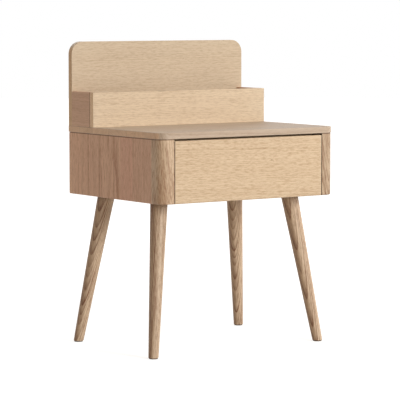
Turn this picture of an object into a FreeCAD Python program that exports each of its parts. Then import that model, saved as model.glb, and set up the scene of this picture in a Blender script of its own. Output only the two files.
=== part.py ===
import FreeCAD, Part
import math
import os
import re

import Sketcher
from FreeCAD import Placement, Rotation, Vector

# A nightstand: a body with one drawer on four splayed legs, and a low tray in front of a
# tall back board on its top.  Millimetres, +Z up, the front faces -Y.  The origin is on the
# floor, under the middle of the top.

# Driving sizes: name in the sheet, value, what it measures.
SIZES = [
    # overall
    ("width", 500, "top panel, side to side"),
    ("depth", 392, "top panel, front to back"),
    ("floor_gap", 356, "floor to the body's underside"),
    ("body_height", 147.5, "body, underside to the top panel"),
    ("overhang", 1, "top panel beyond the body, all round"),
    ("corner_radius", 25, "rounded front corners of the top panel"),
    # top panel and body
    ("top_thickness", 15, "top panel"),
    ("top_edge_radius", 1.5, "eased edges of the top panel"),
    ("side_thickness", 18, "side panels"),
    ("post_flat", 13.5, "flat of a front post beyond its rounded corner, front and side"),
    ("lower_edge_radius", 3, "rounded lower edge of sides, posts and drawer front"),
    ("base_thickness", 15, "base panel"),
    ("base_recess", 8, "base panel above the body's underside"),
    ("back_thickness", 12, "carcass back"),
    ("stretcher_depth", 60, "front stretcher, front to back"),
    ("stretcher_thickness", 18, "front stretcher"),
    ("cleat_size", 20, "square top cleats"),
    # gallery
    ("board_height", 200, "back board above the top panel"),
    ("board_thickness", 15, "back board and tray boards"),
    ("board_corner_radius", 30, "top corners of the back board"),
    ("board_edge_radius", 1.5, "eased edges of the back board and the tray front"),
    ("tray_height", 82, "tray above the top panel"),
    ("tray_depth", 110, "tray front face to the rear of the back board"),
    # drawer
    ("front_thickness", 18, "drawer front"),
    ("front_side_gap", 2, "drawer front to each post"),
    ("front_top_gap", 4.4, "drawer front to the top panel"),
    ("front_edge_radius", 1.2, "eased edges of the drawer front's face"),
    ("finger_bevel", 9, "bevel behind the drawer front's lower edge"),
    ("box_top_gap", 5, "drawer box to the front stretcher above it"),
    ("box_rear_gap", 38, "drawer box to the carcass back, when shut"),
    ("box_thickness", 12, "drawer box boards"),
    ("box_floor_gap", 4, "drawer box above the base panel"),
    ("bottom_thickness", 5, "drawer bottom"),
    ("bottom_inset", 6, "drawer bottom above the box's lower edge"),
    ("groove_depth", 5, "groove for the drawer bottom"),
    ("groove_clearance", 0.2, "drawer bottom in its groove, thickness and reach"),
    # slides
    ("slide_height", 35, "slide's cabinet member"),
    ("slide_width", 12.7, "slide, cabinet face to drawer face"),
    ("slide_setback", 2, "slide's front end behind the drawer front"),
    ("slide_rear_gap", 20, "slide's rear end in front of the drawer box's rear"),
    ("slide_stand_off", 2.2, "drawer member's face beyond the cabinet member"),
    ("slide_sheet", 1.2, "slide members' sheet"),
    ("slide_lip", 2.5, "turned lips of the slide channels"),
    ("slide_gap", 0.5, "running gap between slide members"),
    ("slide_web_gap", 1.8, "cabinet web to middle web, room for screw heads"),
    ("slide_access", 10, "screwdriver holes in the middle member"),
    ("batten_margin", 0.5, "slide battens above and below the slide"),
    # legs
    ("leg_splay", 8, "lean of each leg seen from the front and from the side, degrees"),
    ("leg_top_diameter", 41, "leg at its plate"),
    ("leg_foot_diameter", 23.4, "leg at its foot"),
    ("leg_from_side", 62, "leg centre at its plate to the body's side"),
    ("leg_from_front", 98.5, "front leg centre at its plate to the body's front"),
    ("leg_from_rear", 69.5, "rear leg centre at its plate to the body's rear"),
    ("leg_overrun", 20, "turned length that is trimmed off each end of a leg"),
    ("pad_thickness", 2, "felt foot pads"),
    ("pad_margin", 1.5, "foot pad inside the edge of the foot"),
    ("plate_size", 60, "leg plate, square"),
    ("plate_thickness", 2.5, "leg plate"),
    ("plate_corner", 6, "rounded corners of the leg plate"),
    ("plate_screw_inset", 8, "leg plate screws from the plate's edges"),
    ("boss_diameter", 14, "threaded boss on the leg plate"),
    ("boss_height", 7, "threaded boss above the leg plate"),
    ("bolt_diameter", 8, "hanger bolt"),
    ("bolt_in_leg", 40, "hanger bolt below the leg plate"),
    # fasteners
    ("dowel_diameter", 6, "dowels"),
    ("dowel_length", 24, "dowels"),
    ("dowel_end_gap", 0.5, "spare depth at each end of a dowel"),
    ("dowel_in_side", 12, "dowel in a side panel or post"),
    ("dowel_in_board", 9, "dowel in a tray front, back board or drawer side"),
    ("hole_clearance", 0.1, "fastener to its hole, on the radius"),
    ("screw_diameter", 4, "wood screws"),
    ("screw_head", 8, "countersunk head of a wood screw"),
    ("screw_end_gap", 0.5, "spare depth at the end of a screw"),
    ("gallery_screw_length", 45, "screws up into the tray and back board"),
    ("top_bite", 10, "screws up into the top panel"),
    ("front_bite", 12, "screws into the drawer front"),
    ("batten_bite", 10, "batten screws into the side panels"),
    ("small_screw", 3.5, "slide and leg plate screws"),
    ("small_head", 6.5, "heads of the slide screws"),
    ("small_head_height", 1.3, "heads of the slide screws"),
    ("small_bite", 9, "slide and leg plate screws into the wood"),
]
ALIASES = {alias for alias, _, _ in SIZES}
WORD = re.compile(r"[a-z][a-z_]*")

# Levels and lines that several pieces share, as formulas of the driving sizes.
HALF_WIDTH = "(width / 2)"
REAR = "(depth / 2)"
BODY_SIDE = "(width / 2 - overhang)"
BODY_REAR = "(depth / 2 - overhang)"
SIDE_INNER = f"({BODY_SIDE} - side_thickness)"
POST_SIZE = "(corner_radius - overhang + post_flat)"
POST_INNER = f"({BODY_SIDE} - {POST_SIZE})"
POST_REAR = f"({POST_SIZE} - {BODY_REAR})"
BACK_FRONT = f"({BODY_REAR} - back_thickness)"
BODY_TOP = "(floor_gap + body_height)"
TOP_LEVEL = f"({BODY_TOP} + top_thickness)"
BASE_UNDER = "(floor_gap + base_recess)"
BASE_TOP = f"({BASE_UNDER} + base_thickness)"
STRETCHER_REAR = f"({POST_REAR} + stretcher_depth)"

TRAY_FACE = f"({REAR} - tray_depth)"
TRAY_INNER = f"({TRAY_FACE} + board_thickness)"
BOARD_FRONT = f"({REAR} - board_thickness)"

FRONT_BACK = f"(front_thickness - {BODY_REAR})"
BOX_REAR = f"({BACK_FRONT} - box_rear_gap)"
BOX_SIDE = f"({POST_INNER} - slide_width)"
BOX_INNER = f"({BOX_SIDE} - box_thickness)"
BOX_LOW = f"({BASE_TOP} + box_floor_gap)"
BOX_TOP = f"({BODY_TOP} - stretcher_thickness - box_top_gap)"
BOX_HEIGHT = f"({BOX_TOP} - {BOX_LOW})"
BOTTOM_LEVEL = f"({BOX_LOW} + bottom_inset)"

SLIDE_START = f"({FRONT_BACK} + slide_setback)"
SLIDE_LENGTH = f"({BOX_REAR} - slide_rear_gap - {SLIDE_START})"
SLIDE_CHANNEL = "(slide_width - slide_stand_off)"
SLIDE_MIDDLE = f"(({BOX_LOW} + {BOX_TOP}) / 2)"
SLIDE_LOW = f"({SLIDE_MIDDLE} - slide_height / 2)"

PLATE_UNDER = f"({BASE_UNDER} - plate_thickness)"
LEG_X = f"({BODY_SIDE} - leg_from_side)"
LEG_Y = {"front": f"(leg_from_front - {BODY_REAR})", "rear": f"({BODY_REAR} - leg_from_rear)"}
LEG_LEAN = "atan(sqrt(2) * tan(leg_splay))"
LEG_LENGTH = f"(({PLATE_UNDER} - pad_thickness) / cos({LEG_LEAN}))"
LEG_TAPER = f"((leg_top_diameter - leg_foot_diameter) / 2 / {LEG_LENGTH})"

doc = FreeCAD.newDocument("Nightstand")
sheet = doc.addObject("Spreadsheet::Sheet", "Sizes")
for row, (alias, value, note) in enumerate(SIZES, start=1):
    sheet.set(f"A{row}", note)
    sheet.set(f"B{row}", str(value))
    sheet.setAlias(f"B{row}", alias)
doc.recompute()

nodes = []      # the objects that are pieces, in the order they are made
corners = {}    # the low corner of each body, as three formulas


def bind(thing, prop, formula):
    """Bind a property to a formula of the sheet's sizes."""
    text = WORD.sub(lambda word: f"Sizes.{word[0]}" if word[0] in ALIASES else word[0], formula)
    thing.setExpression(prop, text)


def place(thing, spot):
    """Put an object at a spot, given as three formulas."""
    for axis, formula in zip("xyz", spot):
        bind(thing, f"Placement.Base.{axis}", formula)


def keep(thing, label):
    """Name a finished piece and list it."""
    thing.Label = label
    nodes.append(thing)
    return thing


# ---------------------------------------------------------------- sketches and features
# For each plane: the axes its sketches draw in, and the sign of its normal along its own axis.
PLANES = {"x": ("YZ_Plane", (1, 2), 1), "y": ("XZ_Plane", (0, 2), -1), "z": ("XY_Plane", (0, 1), 1)}


def sketch_across(body, axis, level="0"):
    """Add a sketch to a body, square to an axis, at a level along that axis."""
    role, _, sign = PLANES[axis]
    sketch = body.newObject("Sketcher::SketchObject", "Sketch")
    origin_plane = next(item for item in body.Origin.OriginFeatures if item.Role == role)
    sketch.AttachmentSupport = (origin_plane, [""])
    sketch.MapMode = "FlatFace"
    bind(sketch, "AttachmentOffset.Base.z", f"{sign} * ({level})")
    return sketch


def fix_point(sketch, item, end, guess, spot):
    """Hold a point of a sketch at a spot, given as two formulas from the sketch's origin."""
    for kind, value, formula in zip(("DistanceX", "DistanceY"), guess, spot):
        held = sketch.addConstraint(Sketcher.Constraint(kind, -1, 1, item, end, value))
        bind(sketch, f"Constraints[{held}]", formula)


def draw_outline(sketch, spots):
    """Draw a closed outline of straight lines through spots, each given as two formulas."""
    count = len(spots)
    turns = [2 * math.pi * step / count for step in range(count)]
    guesses = [Vector(20 + 10 * math.cos(turn), 20 + 10 * math.sin(turn), 0) for turn in turns]
    for step in range(count):
        sketch.addGeometry(Part.LineSegment(guesses[step], guesses[(step + 1) % count]), False)
    for step in range(count):
        sketch.addConstraint(Sketcher.Constraint("Coincident", step, 2, (step + 1) % count, 1))
    for step, spot in enumerate(spots):
        fix_point(sketch, step, 1, (guesses[step].x, guesses[step].y), spot)


def draw_circles(sketch, spots, diameter):
    """Draw equal circles about spots, each given as two formulas."""
    for step, spot in enumerate(spots):
        centre = Vector(10 + 10 * step, 10, 0)
        sketch.addGeometry(Part.Circle(centre, Vector(0, 0, 1), 3), False)
        fix_point(sketch, step, 3, (centre.x, centre.y), spot)
        held = sketch.addConstraint(Sketcher.Constraint("Diameter", step, 6))
        bind(sketch, f"Constraints[{held}]", diameter)


def extrusion(label, low, axis, outline, length):
    """Make a body by padding an outline along an axis, from the body's low corner."""
    body = doc.addObject("PartDesign::Body", label)
    place(body, low)
    corners[body.Name] = low
    sketch = sketch_across(body, axis)
    draw_outline(sketch, outline)
    pad = body.newObject("PartDesign::Pad", "Pad")
    pad.Profile = sketch
    pad.Reversed = axis == "y"
    bind(pad, "Length", length)
    doc.recompute()
    return keep(body, label)


def board(label, low, high):
    """Make a square-edged board between two opposite corners."""
    across, along, up = (f"({far}) - ({near})" for near, far in zip(low, high))
    outline = [("0", "0"), (across, "0"), (across, along), ("0", along)]
    return extrusion(label, low, "z", outline, up)


def local_spots(body, axis, spots):
    """Turn spots in the part's frame into formulas in a body's sketch square to an axis."""
    low = corners[body.Name]
    _, drawn, _ = PLANES[axis]
    return [tuple(f"({spot[step]}) - ({low[step]})" for step in drawn) for spot in spots]


def hole_sketch(body, axis, start, spots, diameter):
    """Draw a group of equal holes that start at one level along an axis."""
    level = f"({start}) - ({corners[body.Name]['xyz'.index(axis)]})"
    sketch = sketch_across(body, axis, level)
    draw_circles(sketch, local_spots(body, axis, spots), diameter)
    return sketch


def check_cut(body, before, what):
    """Stop if a cut took nothing away."""
    doc.recompute()
    if body.Shape.Volume > before - 0.1:
        raise RuntimeError(f"{what} in {body.Label} cuts nothing")


def bore(body, way, start, spots, diameter, depth):
    """Bore straight holes: way is a sign and an axis, such as "-z"."""
    before = body.Shape.Volume
    sketch = hole_sketch(body, way[1], start, spots, diameter)
    pocket = body.newObject("PartDesign::Pocket", "Bore")
    pocket.Profile = sketch
    pocket.Reversed = (way[0] == "+") == (PLANES[way[1]][2] > 0)
    bind(pocket, "Length", depth)
    check_cut(body, before, "bore")


def bore_countersunk(body, way, start, spots, depth, diameter="screw_diameter", head="screw_head"):
    """Bore clearance holes with countersinks for screws that are driven in at their start."""
    before = body.Shape.Volume
    hole_diameter = f"{diameter} + 2 * hole_clearance"
    sketch = hole_sketch(body, way[1], start, spots, hole_diameter)
    doc.recompute()
    hole = body.newObject("PartDesign::Hole", "ScrewHole")
    hole.Profile = sketch
    doc.recompute()
    hole.Threaded = False
    hole.DepthType = "Dimension"
    hole.DrillPoint = "Flat"
    hole.HoleCutType = "Countersink"
    hole.HoleCutCustomValues = True
    hole.HoleCutCountersinkAngle = 90
    hole.Reversed = (way[0] == "+") == (PLANES[way[1]][2] > 0)
    bind(hole, "Diameter", hole_diameter)
    bind(hole, "HoleCutDiameter", f"{head} + 2 * hole_clearance")
    bind(hole, "Depth", depth)
    check_cut(body, before, "screw hole")


def groove(body, axis, start, outline, depth, way):
    """Cut a pocket with a straight-sided outline."""
    before = body.Shape.Volume
    level = f"({start}) - ({corners[body.Name]['xyz'.index(axis)]})"
    sketch = sketch_across(body, axis, level)
    draw_outline(sketch, local_spots(body, axis, outline))
    pocket = body.newObject("PartDesign::Pocket", "Groove")
    pocket.Profile = sketch
    pocket.Reversed = (way == "+") == (PLANES[axis][2] > 0)
    bind(pocket, "Length", depth)
    check_cut(body, before, "groove")


def ease(body, radius, chosen, kind="Fillet"):
    """Round or bevel the edges of a body that a test on their middle and direction picks."""
    solid = body.Shape
    box = solid.BoundBox
    names = []
    for step, edge in enumerate(solid.Edges, start=1):
        middle = edge.valueAt((edge.FirstParameter + edge.LastParameter) / 2)
        if chosen(middle, edge, box):
            names.append(f"Edge{step}")
    if not names:
        raise RuntimeError(f"no edge to ease on {body.Label}")
    last = body.Tip
    feature = body.newObject(f"PartDesign::{kind}", kind)
    feature.Base = (last, names)
    bind(feature, "Radius" if kind == "Fillet" else "Size", radius)
    doc.recompute()


NEAR = 0.01     # how near two positions count as the same place


def upright(edge):
    """Is an edge straight and parallel to Z?"""
    box = edge.BoundBox
    return box.XLength < NEAR and box.YLength < NEAR


def mirrored(source, label):
    """Make the right-hand twin of a left-hand piece."""
    twin = doc.addObject("Part::Mirroring", label)
    twin.Source = source
    twin.Normal = Vector(1, 0, 0)
    return keep(twin, label)


# ---------------------------------------------------------------- fasteners
TURNS = {
    "+z": Rotation(),
    "+y": Rotation(Vector(1, 0, 0), -90),
    "-y": Rotation(Vector(1, 0, 0), 90),
    "+x": Rotation(Vector(0, 1, 0), 90),
    "-x": Rotation(Vector(0, 1, 0), -90),
}


def cylinder(radius, height, spot=("0", "0", "0"), way="+z"):
    """Make a cylinder that runs from a spot, one way along an axis."""
    rod = doc.addObject("Part::Cylinder", "Cylinder")
    rod.Placement = Placement(Vector(), TURNS[way])
    bind(rod, "Radius", radius)
    bind(rod, "Height", height)
    place(rod, spot)
    return rod


def group(label, solids):
    """Make one piece out of a set of like solids."""
    compound = doc.addObject("Part::Compound", label)
    compound.Links = solids
    return keep(compound, label)


def shifted(spot, way, distance):
    """Move a spot along an axis."""
    moved = list(spot)
    step = "xyz".index(way[1])
    moved[step] = f"({spot[step]}) {way[0]} ({distance})"
    return tuple(moved)


def dowel(spot, way, depth):
    """Make a dowel that reaches a depth past a joint's face, one way along an axis."""
    start = shifted(spot, way, f"{depth} - dowel_length")
    return cylinder("dowel_diameter / 2", "dowel_length", start, way)


def dowel_holes(first, second, way, level, spots, depth):
    """Bore both sides of a dowelled joint: first is the piece that way points into."""
    back = ("-" if way[0] == "+" else "+") + way[1]
    diameter = "dowel_diameter + 2 * hole_clearance"
    bore(first, way, level, spots, diameter, f"{depth} + dowel_end_gap")
    bore(second, back, level, spots, diameter, f"dowel_length - {depth} + dowel_end_gap")


def countersunk_screw(spot, way, length, diameter="screw_diameter", head="screw_head"):
    """Make a countersunk screw whose head is flush at a spot."""
    cone = doc.addObject("Part::Cone", "Head")
    bind(cone, "Radius1", f"{head} / 2")
    bind(cone, "Radius2", f"{diameter} / 2")
    bind(cone, "Height", f"({head} - {diameter}) / 2")
    shank = cylinder(f"{diameter} / 2", length)
    return fused(cone, shank, spot, way)


def flat_head_screw(spot, way, bite):
    """Make a slide screw: its head lies on a sheet at a spot, and it bites past the sheet."""
    head = cylinder("small_head / 2", "small_head_height", ("0", "0", "-small_head_height"))
    shank = cylinder("small_screw / 2", f"slide_sheet + {bite}")
    return fused(head, shank, spot, way)


def fused(first, second, spot, way="+z"):
    """Join two primitives and put the result at a spot, turned one way."""
    fuse = doc.addObject("Part::Fuse", "Fuse")
    fuse.Base = first
    fuse.Tool = second
    fuse.Placement = Placement(Vector(), TURNS[way])
    place(fuse, spot)
    return fuse


def opposite(spot):
    """Give the same spot on the other side of the middle plane."""
    return (f"-({spot[0]})",) + tuple(spot[1:])


def both_sides(spots, maker, way):
    """Make a fastener at each spot on the left, pointing along X, and its twin on the right."""
    other = ("-" if way[0] == "+" else "+") + way[1] if way[1] == "x" else way
    made = [maker(spot, way) for spot in spots]
    return made + [maker(opposite(spot), other) for spot in spots]


# ---------------------------------------------------------------- the body
top_panel = board("top_panel", (f"-{HALF_WIDTH}", f"-{REAR}", BODY_TOP), (HALF_WIDTH, REAR, TOP_LEVEL))
ease(top_panel, "corner_radius", lambda mid, edge, box: upright(edge) and mid.y < box.YMin + NEAR)
ease(top_panel, "top_edge_radius",
     lambda mid, edge, box: not upright(edge) and mid.y < box.YMax - NEAR)

left_side = board(
    "left_side_panel",
    (f"-{BODY_SIDE}", POST_REAR, "floor_gap"),
    (f"-{SIDE_INNER}", BODY_REAR, BODY_TOP),
)
ease(left_side, "lower_edge_radius",
     lambda mid, edge, box: mid.x < box.XMin + NEAR and mid.z < box.ZMin + NEAR)

left_post = board(
    "left_corner_post",
    (f"-{BODY_SIDE}", f"-{BODY_REAR}", "floor_gap"),
    (f"-{POST_INNER}", POST_REAR, BODY_TOP),
)
ease(left_post, "corner_radius - overhang",
     lambda mid, edge, box: upright(edge) and mid.x < box.XMin + NEAR and mid.y < box.YMin + NEAR)
ease(left_post, "lower_edge_radius",
     lambda mid, edge, box: mid.z < box.ZMin + NEAR and mid.y < box.YMax - NEAR
     and mid.x < box.XMax - NEAR)

base_panel = board(
    "base_panel",
    (f"-{SIDE_INNER}", POST_REAR, BASE_UNDER),
    (SIDE_INNER, BACK_FRONT, BASE_TOP),
)
carcass_back = board(
    "carcass_back",
    (f"-{SIDE_INNER}", BACK_FRONT, BASE_UNDER),
    (SIDE_INNER, BODY_REAR, BODY_TOP),
)
stretcher = board(
    "front_stretcher",
    (f"-{SIDE_INNER}", POST_REAR, f"{BODY_TOP} - stretcher_thickness"),
    (SIDE_INNER, STRETCHER_REAR, BODY_TOP),
)
left_cleat = board(
    "left_top_cleat",
    (f"-{SIDE_INNER}", STRETCHER_REAR, f"{BODY_TOP} - cleat_size"),
    (f"cleat_size - {SIDE_INNER}", BACK_FRONT, BODY_TOP),
)
left_batten = board(
    "left_slide_batten",
    (f"-{SIDE_INNER}", POST_REAR, f"{SLIDE_LOW} - batten_margin"),
    (f"-{POST_INNER}", f"{SLIDE_START} + {SLIDE_LENGTH}", f"{SLIDE_LOW} + slide_height + batten_margin"),
)

# ---------------------------------------------------------------- the gallery
back_board = board("back_board", (f"-{HALF_WIDTH}", BOARD_FRONT, TOP_LEVEL),
                   (HALF_WIDTH, REAR, f"{TOP_LEVEL} + board_height"))
ease(back_board, "board_corner_radius",
     lambda mid, edge, box: edge.BoundBox.YLength > NEAR and mid.z > box.ZMax - NEAR
     and min(mid.x - box.XMin, box.XMax - mid.x) < NEAR)
ease(back_board, "board_edge_radius",
     lambda mid, edge, box: edge.BoundBox.YLength < NEAR and mid.z > box.ZMin + NEAR)

tray_front = board("tray_front", (f"-{HALF_WIDTH}", TRAY_FACE, TOP_LEVEL),
                   (HALF_WIDTH, TRAY_INNER, f"{TOP_LEVEL} + tray_height"))
ease(tray_front, "board_edge_radius",
     lambda mid, edge, box: mid.y < box.YMin + NEAR and mid.z > box.ZMin + NEAR)

tray_left = board("tray_left_side", (f"-{HALF_WIDTH}", TRAY_INNER, TOP_LEVEL),
                  (f"board_thickness - {HALF_WIDTH}", BOARD_FRONT, f"{TOP_LEVEL} + tray_height"))

# ---------------------------------------------------------------- the drawer
FRONT_SIDE = f"({POST_INNER} - front_side_gap)"
FRONT_TOP = f"({BODY_TOP} - front_top_gap)"
drawer_front = board("drawer_front", (f"-{FRONT_SIDE}", f"-{BODY_REAR}", "floor_gap"),
                     (FRONT_SIDE, FRONT_BACK, FRONT_TOP))
ease(drawer_front, "finger_bevel",
     lambda mid, edge, box: mid.y > box.YMax - NEAR and mid.z < box.ZMin + NEAR, "Chamfer")
ease(drawer_front, "lower_edge_radius",
     lambda mid, edge, box: mid.y < box.YMin + NEAR and mid.z < box.ZMin + NEAR)
ease(drawer_front, "front_edge_radius",
     lambda mid, edge, box: mid.y < box.YMin + NEAR and mid.z > box.ZMax - NEAR)

BOX_FRONT_BACK = f"({FRONT_BACK} + box_thickness)"
BOX_BACK_FRONT = f"({BOX_REAR} - box_thickness)"
drawer_left = board("drawer_left_side", (f"-{BOX_SIDE}", FRONT_BACK, BOX_LOW),
                    (f"-{BOX_INNER}", BOX_REAR, BOX_TOP))
box_front = board("drawer_box_front", (f"-{BOX_INNER}", FRONT_BACK, BOX_LOW),
                  (BOX_INNER, BOX_FRONT_BACK, BOX_TOP))
box_back = board("drawer_back", (f"-{BOX_INNER}", BOX_BACK_FRONT, BOX_LOW),
                 (BOX_INNER, BOX_REAR, BOX_TOP))
BOTTOM_REACH = "(groove_depth - groove_clearance)"
drawer_bottom = board(
    "drawer_bottom",
    (f"-{BOX_INNER} - {BOTTOM_REACH}", f"{BOX_FRONT_BACK} - {BOTTOM_REACH}", BOTTOM_LEVEL),
    (f"{BOX_INNER} + {BOTTOM_REACH}", f"{BOX_BACK_FRONT} + {BOTTOM_REACH}",
     f"{BOTTOM_LEVEL} + bottom_thickness"),
)

# The groove runs round the inside of the box, a little thicker than the bottom.
GROOVE_LOW = f"({BOTTOM_LEVEL} - groove_clearance / 2)"
GROOVE_HIGH = f"({BOTTOM_LEVEL} + bottom_thickness + groove_clearance / 2)"
GROOVE_START = f"({BOX_FRONT_BACK} - groove_depth)"
GROOVE_END = f"({BOX_BACK_FRONT} + groove_depth)"
groove(drawer_left, "x", f"-{BOX_INNER}",
       [("0", GROOVE_START, GROOVE_LOW), ("0", GROOVE_END, GROOVE_LOW),
        ("0", GROOVE_END, GROOVE_HIGH), ("0", GROOVE_START, GROOVE_HIGH)], "groove_depth", "-")
for end_board, face, way in ((box_front, BOX_FRONT_BACK, "-"), (box_back, BOX_BACK_FRONT, "+")):
    groove(end_board, "y", face,
           [(f"-{BOX_INNER}", "0", GROOVE_LOW), (BOX_INNER, "0", GROOVE_LOW),
            (BOX_INNER, "0", GROOVE_HIGH), (f"-{BOX_INNER}", "0", GROOVE_HIGH)], "groove_depth", way)

# ---------------------------------------------------------------- the slides
MIDDLE_START = "(slide_sheet + slide_web_gap)"
MIDDLE_END = f"({SLIDE_CHANNEL} - slide_sheet - slide_gap)"
MIDDLE_LOW = "(slide_sheet + slide_gap)"
INNER_START = f"({MIDDLE_START} + slide_sheet + slide_gap)"
INNER_LOW = f"({MIDDLE_LOW} + slide_sheet + slide_gap)"
INNER_NECK = f"({MIDDLE_LOW} + slide_sheet + slide_lip + slide_gap)"


def channel(start, end, low):
    """Outline a lipped channel across X and Z, open towards the drawer."""
    skin = "slide_sheet"
    high = f"slide_height - {low}"
    lip = f"{low} + {skin} + slide_lip"
    return [
        (start, low), (end, low), (end, lip), (f"{end} - {skin}", lip),
        (f"{end} - {skin}", f"{low} + {skin}"), (f"{start} + {skin}", f"{low} + {skin}"),
        (f"{start} + {skin}", f"{high} - {skin}"), (f"{end} - {skin}", f"{high} - {skin}"),
        (f"{end} - {skin}", f"slide_height - ({lip})"), (end, f"slide_height - ({lip})"),
        (end, high), (start, high),
    ]


def hat(start, end, low, neck):
    """Outline the drawer member: a channel open towards the cabinet, with turned-out brims."""
    skin = "slide_sheet"
    lower = [
        (start, f"{neck} + {skin}"), (start, low), (f"{start} + {skin}", low),
        (f"{start} + {skin}", neck), (end, neck),
    ]
    upper = [(across, f"slide_height - ({up})") for across, up in reversed(lower)]
    inner = [
        (f"{end} - {skin}", f"slide_height - ({neck}) - {skin}"),
        (f"{end} - {skin}", f"{neck} + {skin}"),
    ]
    return lower + upper + inner


slide_corner = (f"-{POST_INNER}", SLIDE_START, SLIDE_LOW)
cabinet_member = extrusion("left_slide_cabinet_member", slide_corner, "y",
                           channel("0", SLIDE_CHANNEL, "0"), SLIDE_LENGTH)
middle_member = extrusion("left_slide_middle_member", slide_corner, "y",
                          channel(MIDDLE_START, MIDDLE_END, MIDDLE_LOW), SLIDE_LENGTH)
drawer_member = extrusion("left_slide_drawer_member", slide_corner, "y",
                          hat(INNER_START, "slide_width", INNER_LOW, INNER_NECK), SLIDE_LENGTH)

# ---------------------------------------------------------------- the legs
CORNERS = (("front_left", "front", -1), ("front_right", "front", 1),
           ("rear_left", "rear", -1), ("rear_right", "rear", 1))
BOLT_IN_PLATE = "(plate_thickness + boss_height)"
plates = []
for name, end, side in CORNERS:
    top_x = f"({side} * {LEG_X})"
    top_y = LEG_Y[end]
    toe = -1 if end == "front" else 1
    spread = f"({PLATE_UNDER} - pad_thickness) * tan(leg_splay)"
    foot_x = f"({top_x} + {side} * {spread})"
    foot_y = f"({top_y} + {toe} * {spread})"

    # The turned blank is longer than the leg, and leans along a diagonal of the body.
    blank = doc.addObject("Part::Cone", "LegBlank")
    blank.Placement = Placement(Vector(), Rotation(Vector(toe, -side, 0), 10))
    bind(blank, "Placement.Rotation.Angle", LEG_LEAN)
    bind(blank, "Radius1", f"leg_foot_diameter / 2 - leg_overrun * {LEG_TAPER}")
    bind(blank, "Radius2", f"leg_top_diameter / 2 + leg_overrun * {LEG_TAPER}")
    bind(blank, "Height", f"{LEG_LENGTH} + 2 * leg_overrun")
    sideways = f"leg_overrun * sin({LEG_LEAN}) / sqrt(2)"
    place(blank, (f"{foot_x} + {side} * {sideways}", f"{foot_y} + {toe} * {sideways}",
                  f"pad_thickness - leg_overrun * cos({LEG_LEAN})"))

    # Both ends are trimmed level, and the top is bored for its hanger bolt.
    trim = doc.addObject("Part::Box", "LegTrim")
    for prop in ("Length", "Width"):
        bind(trim, prop, "floor_gap")
    bind(trim, "Height", f"{PLATE_UNDER} - pad_thickness")
    place(trim, (f"{top_x} - floor_gap / 2", f"{top_y} - floor_gap / 2", "pad_thickness"))
    trimmed = doc.addObject("Part::Common", "LegTrimmed")
    trimmed.Base = blank
    trimmed.Tool = trim
    bolt_hole = cylinder("bolt_diameter / 2 + hole_clearance", "bolt_in_leg + screw_end_gap",
                         (top_x, top_y, f"{PLATE_UNDER} - bolt_in_leg - screw_end_gap"))
    leg = doc.addObject("Part::Cut", f"{name}_leg")
    leg.Base = trimmed
    leg.Tool = bolt_hole
    keep(leg, f"{name}_leg")

    # The plate is screwed under the base panel, and its threaded boss stands in the panel.
    plate_low = (f"{top_x} - plate_size / 2", f"{top_y} - plate_size / 2", PLATE_UNDER)
    plate = board(f"{name}_leg_plate", plate_low,
                  (f"{top_x} + plate_size / 2", f"{top_y} + plate_size / 2", BASE_UNDER))
    ease(plate, "plate_corner", lambda mid, edge, box: upright(edge))
    boss_sketch = sketch_across(plate, "z", "plate_thickness")
    draw_circles(boss_sketch, [("plate_size / 2", "plate_size / 2")], "boss_diameter")
    boss = plate.newObject("PartDesign::Pad", "Boss")
    boss.Profile = boss_sketch
    bind(boss, "Length", "boss_height")
    doc.recompute()
    bore(plate, "+z", PLATE_UNDER, [(top_x, top_y, "0")],
         "bolt_diameter + 2 * hole_clearance", BOLT_IN_PLATE)
    bore(base_panel, "+z", BASE_UNDER, [(top_x, top_y, "0")],
         "boss_diameter + 2 * hole_clearance", "boss_height + screw_end_gap")
    plates.append((plate, top_x, top_y))

    pad = cylinder("leg_foot_diameter / 2 - pad_margin", "pad_thickness", (foot_x, foot_y, "0"))
    keep(pad, f"{name}_foot_pad")

group("leg_bolts", [
    cylinder("bolt_diameter / 2", f"bolt_in_leg + {BOLT_IN_PLATE}", (x, y, f"{PLATE_UNDER} - bolt_in_leg"))
    for _, x, y in plates
])

# Four countersunk screws hold each plate.
plate_screws = []
PLATE_HEAD = "(small_screw + 2 * plate_thickness - 1)"
for plate, x, y in plates:
    reach = "(plate_size / 2 - plate_screw_inset)"
    spots = [(f"{x} + {across} * {reach}", f"{y} + {along} * {reach}", PLATE_UNDER)
             for across in (-1, 1) for along in (-1, 1)]
    bore_countersunk(plate, "+z", PLATE_UNDER, spots, "plate_thickness", "small_screw", PLATE_HEAD)
    bore(base_panel, "+z", BASE_UNDER, spots, "small_screw + 2 * hole_clearance",
         "small_bite + screw_end_gap")
    plate_screws += [countersunk_screw(spot, "+z", "plate_thickness + small_bite", "small_screw", PLATE_HEAD)
                     for spot in spots]
group("leg_plate_screws", plate_screws)

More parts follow.
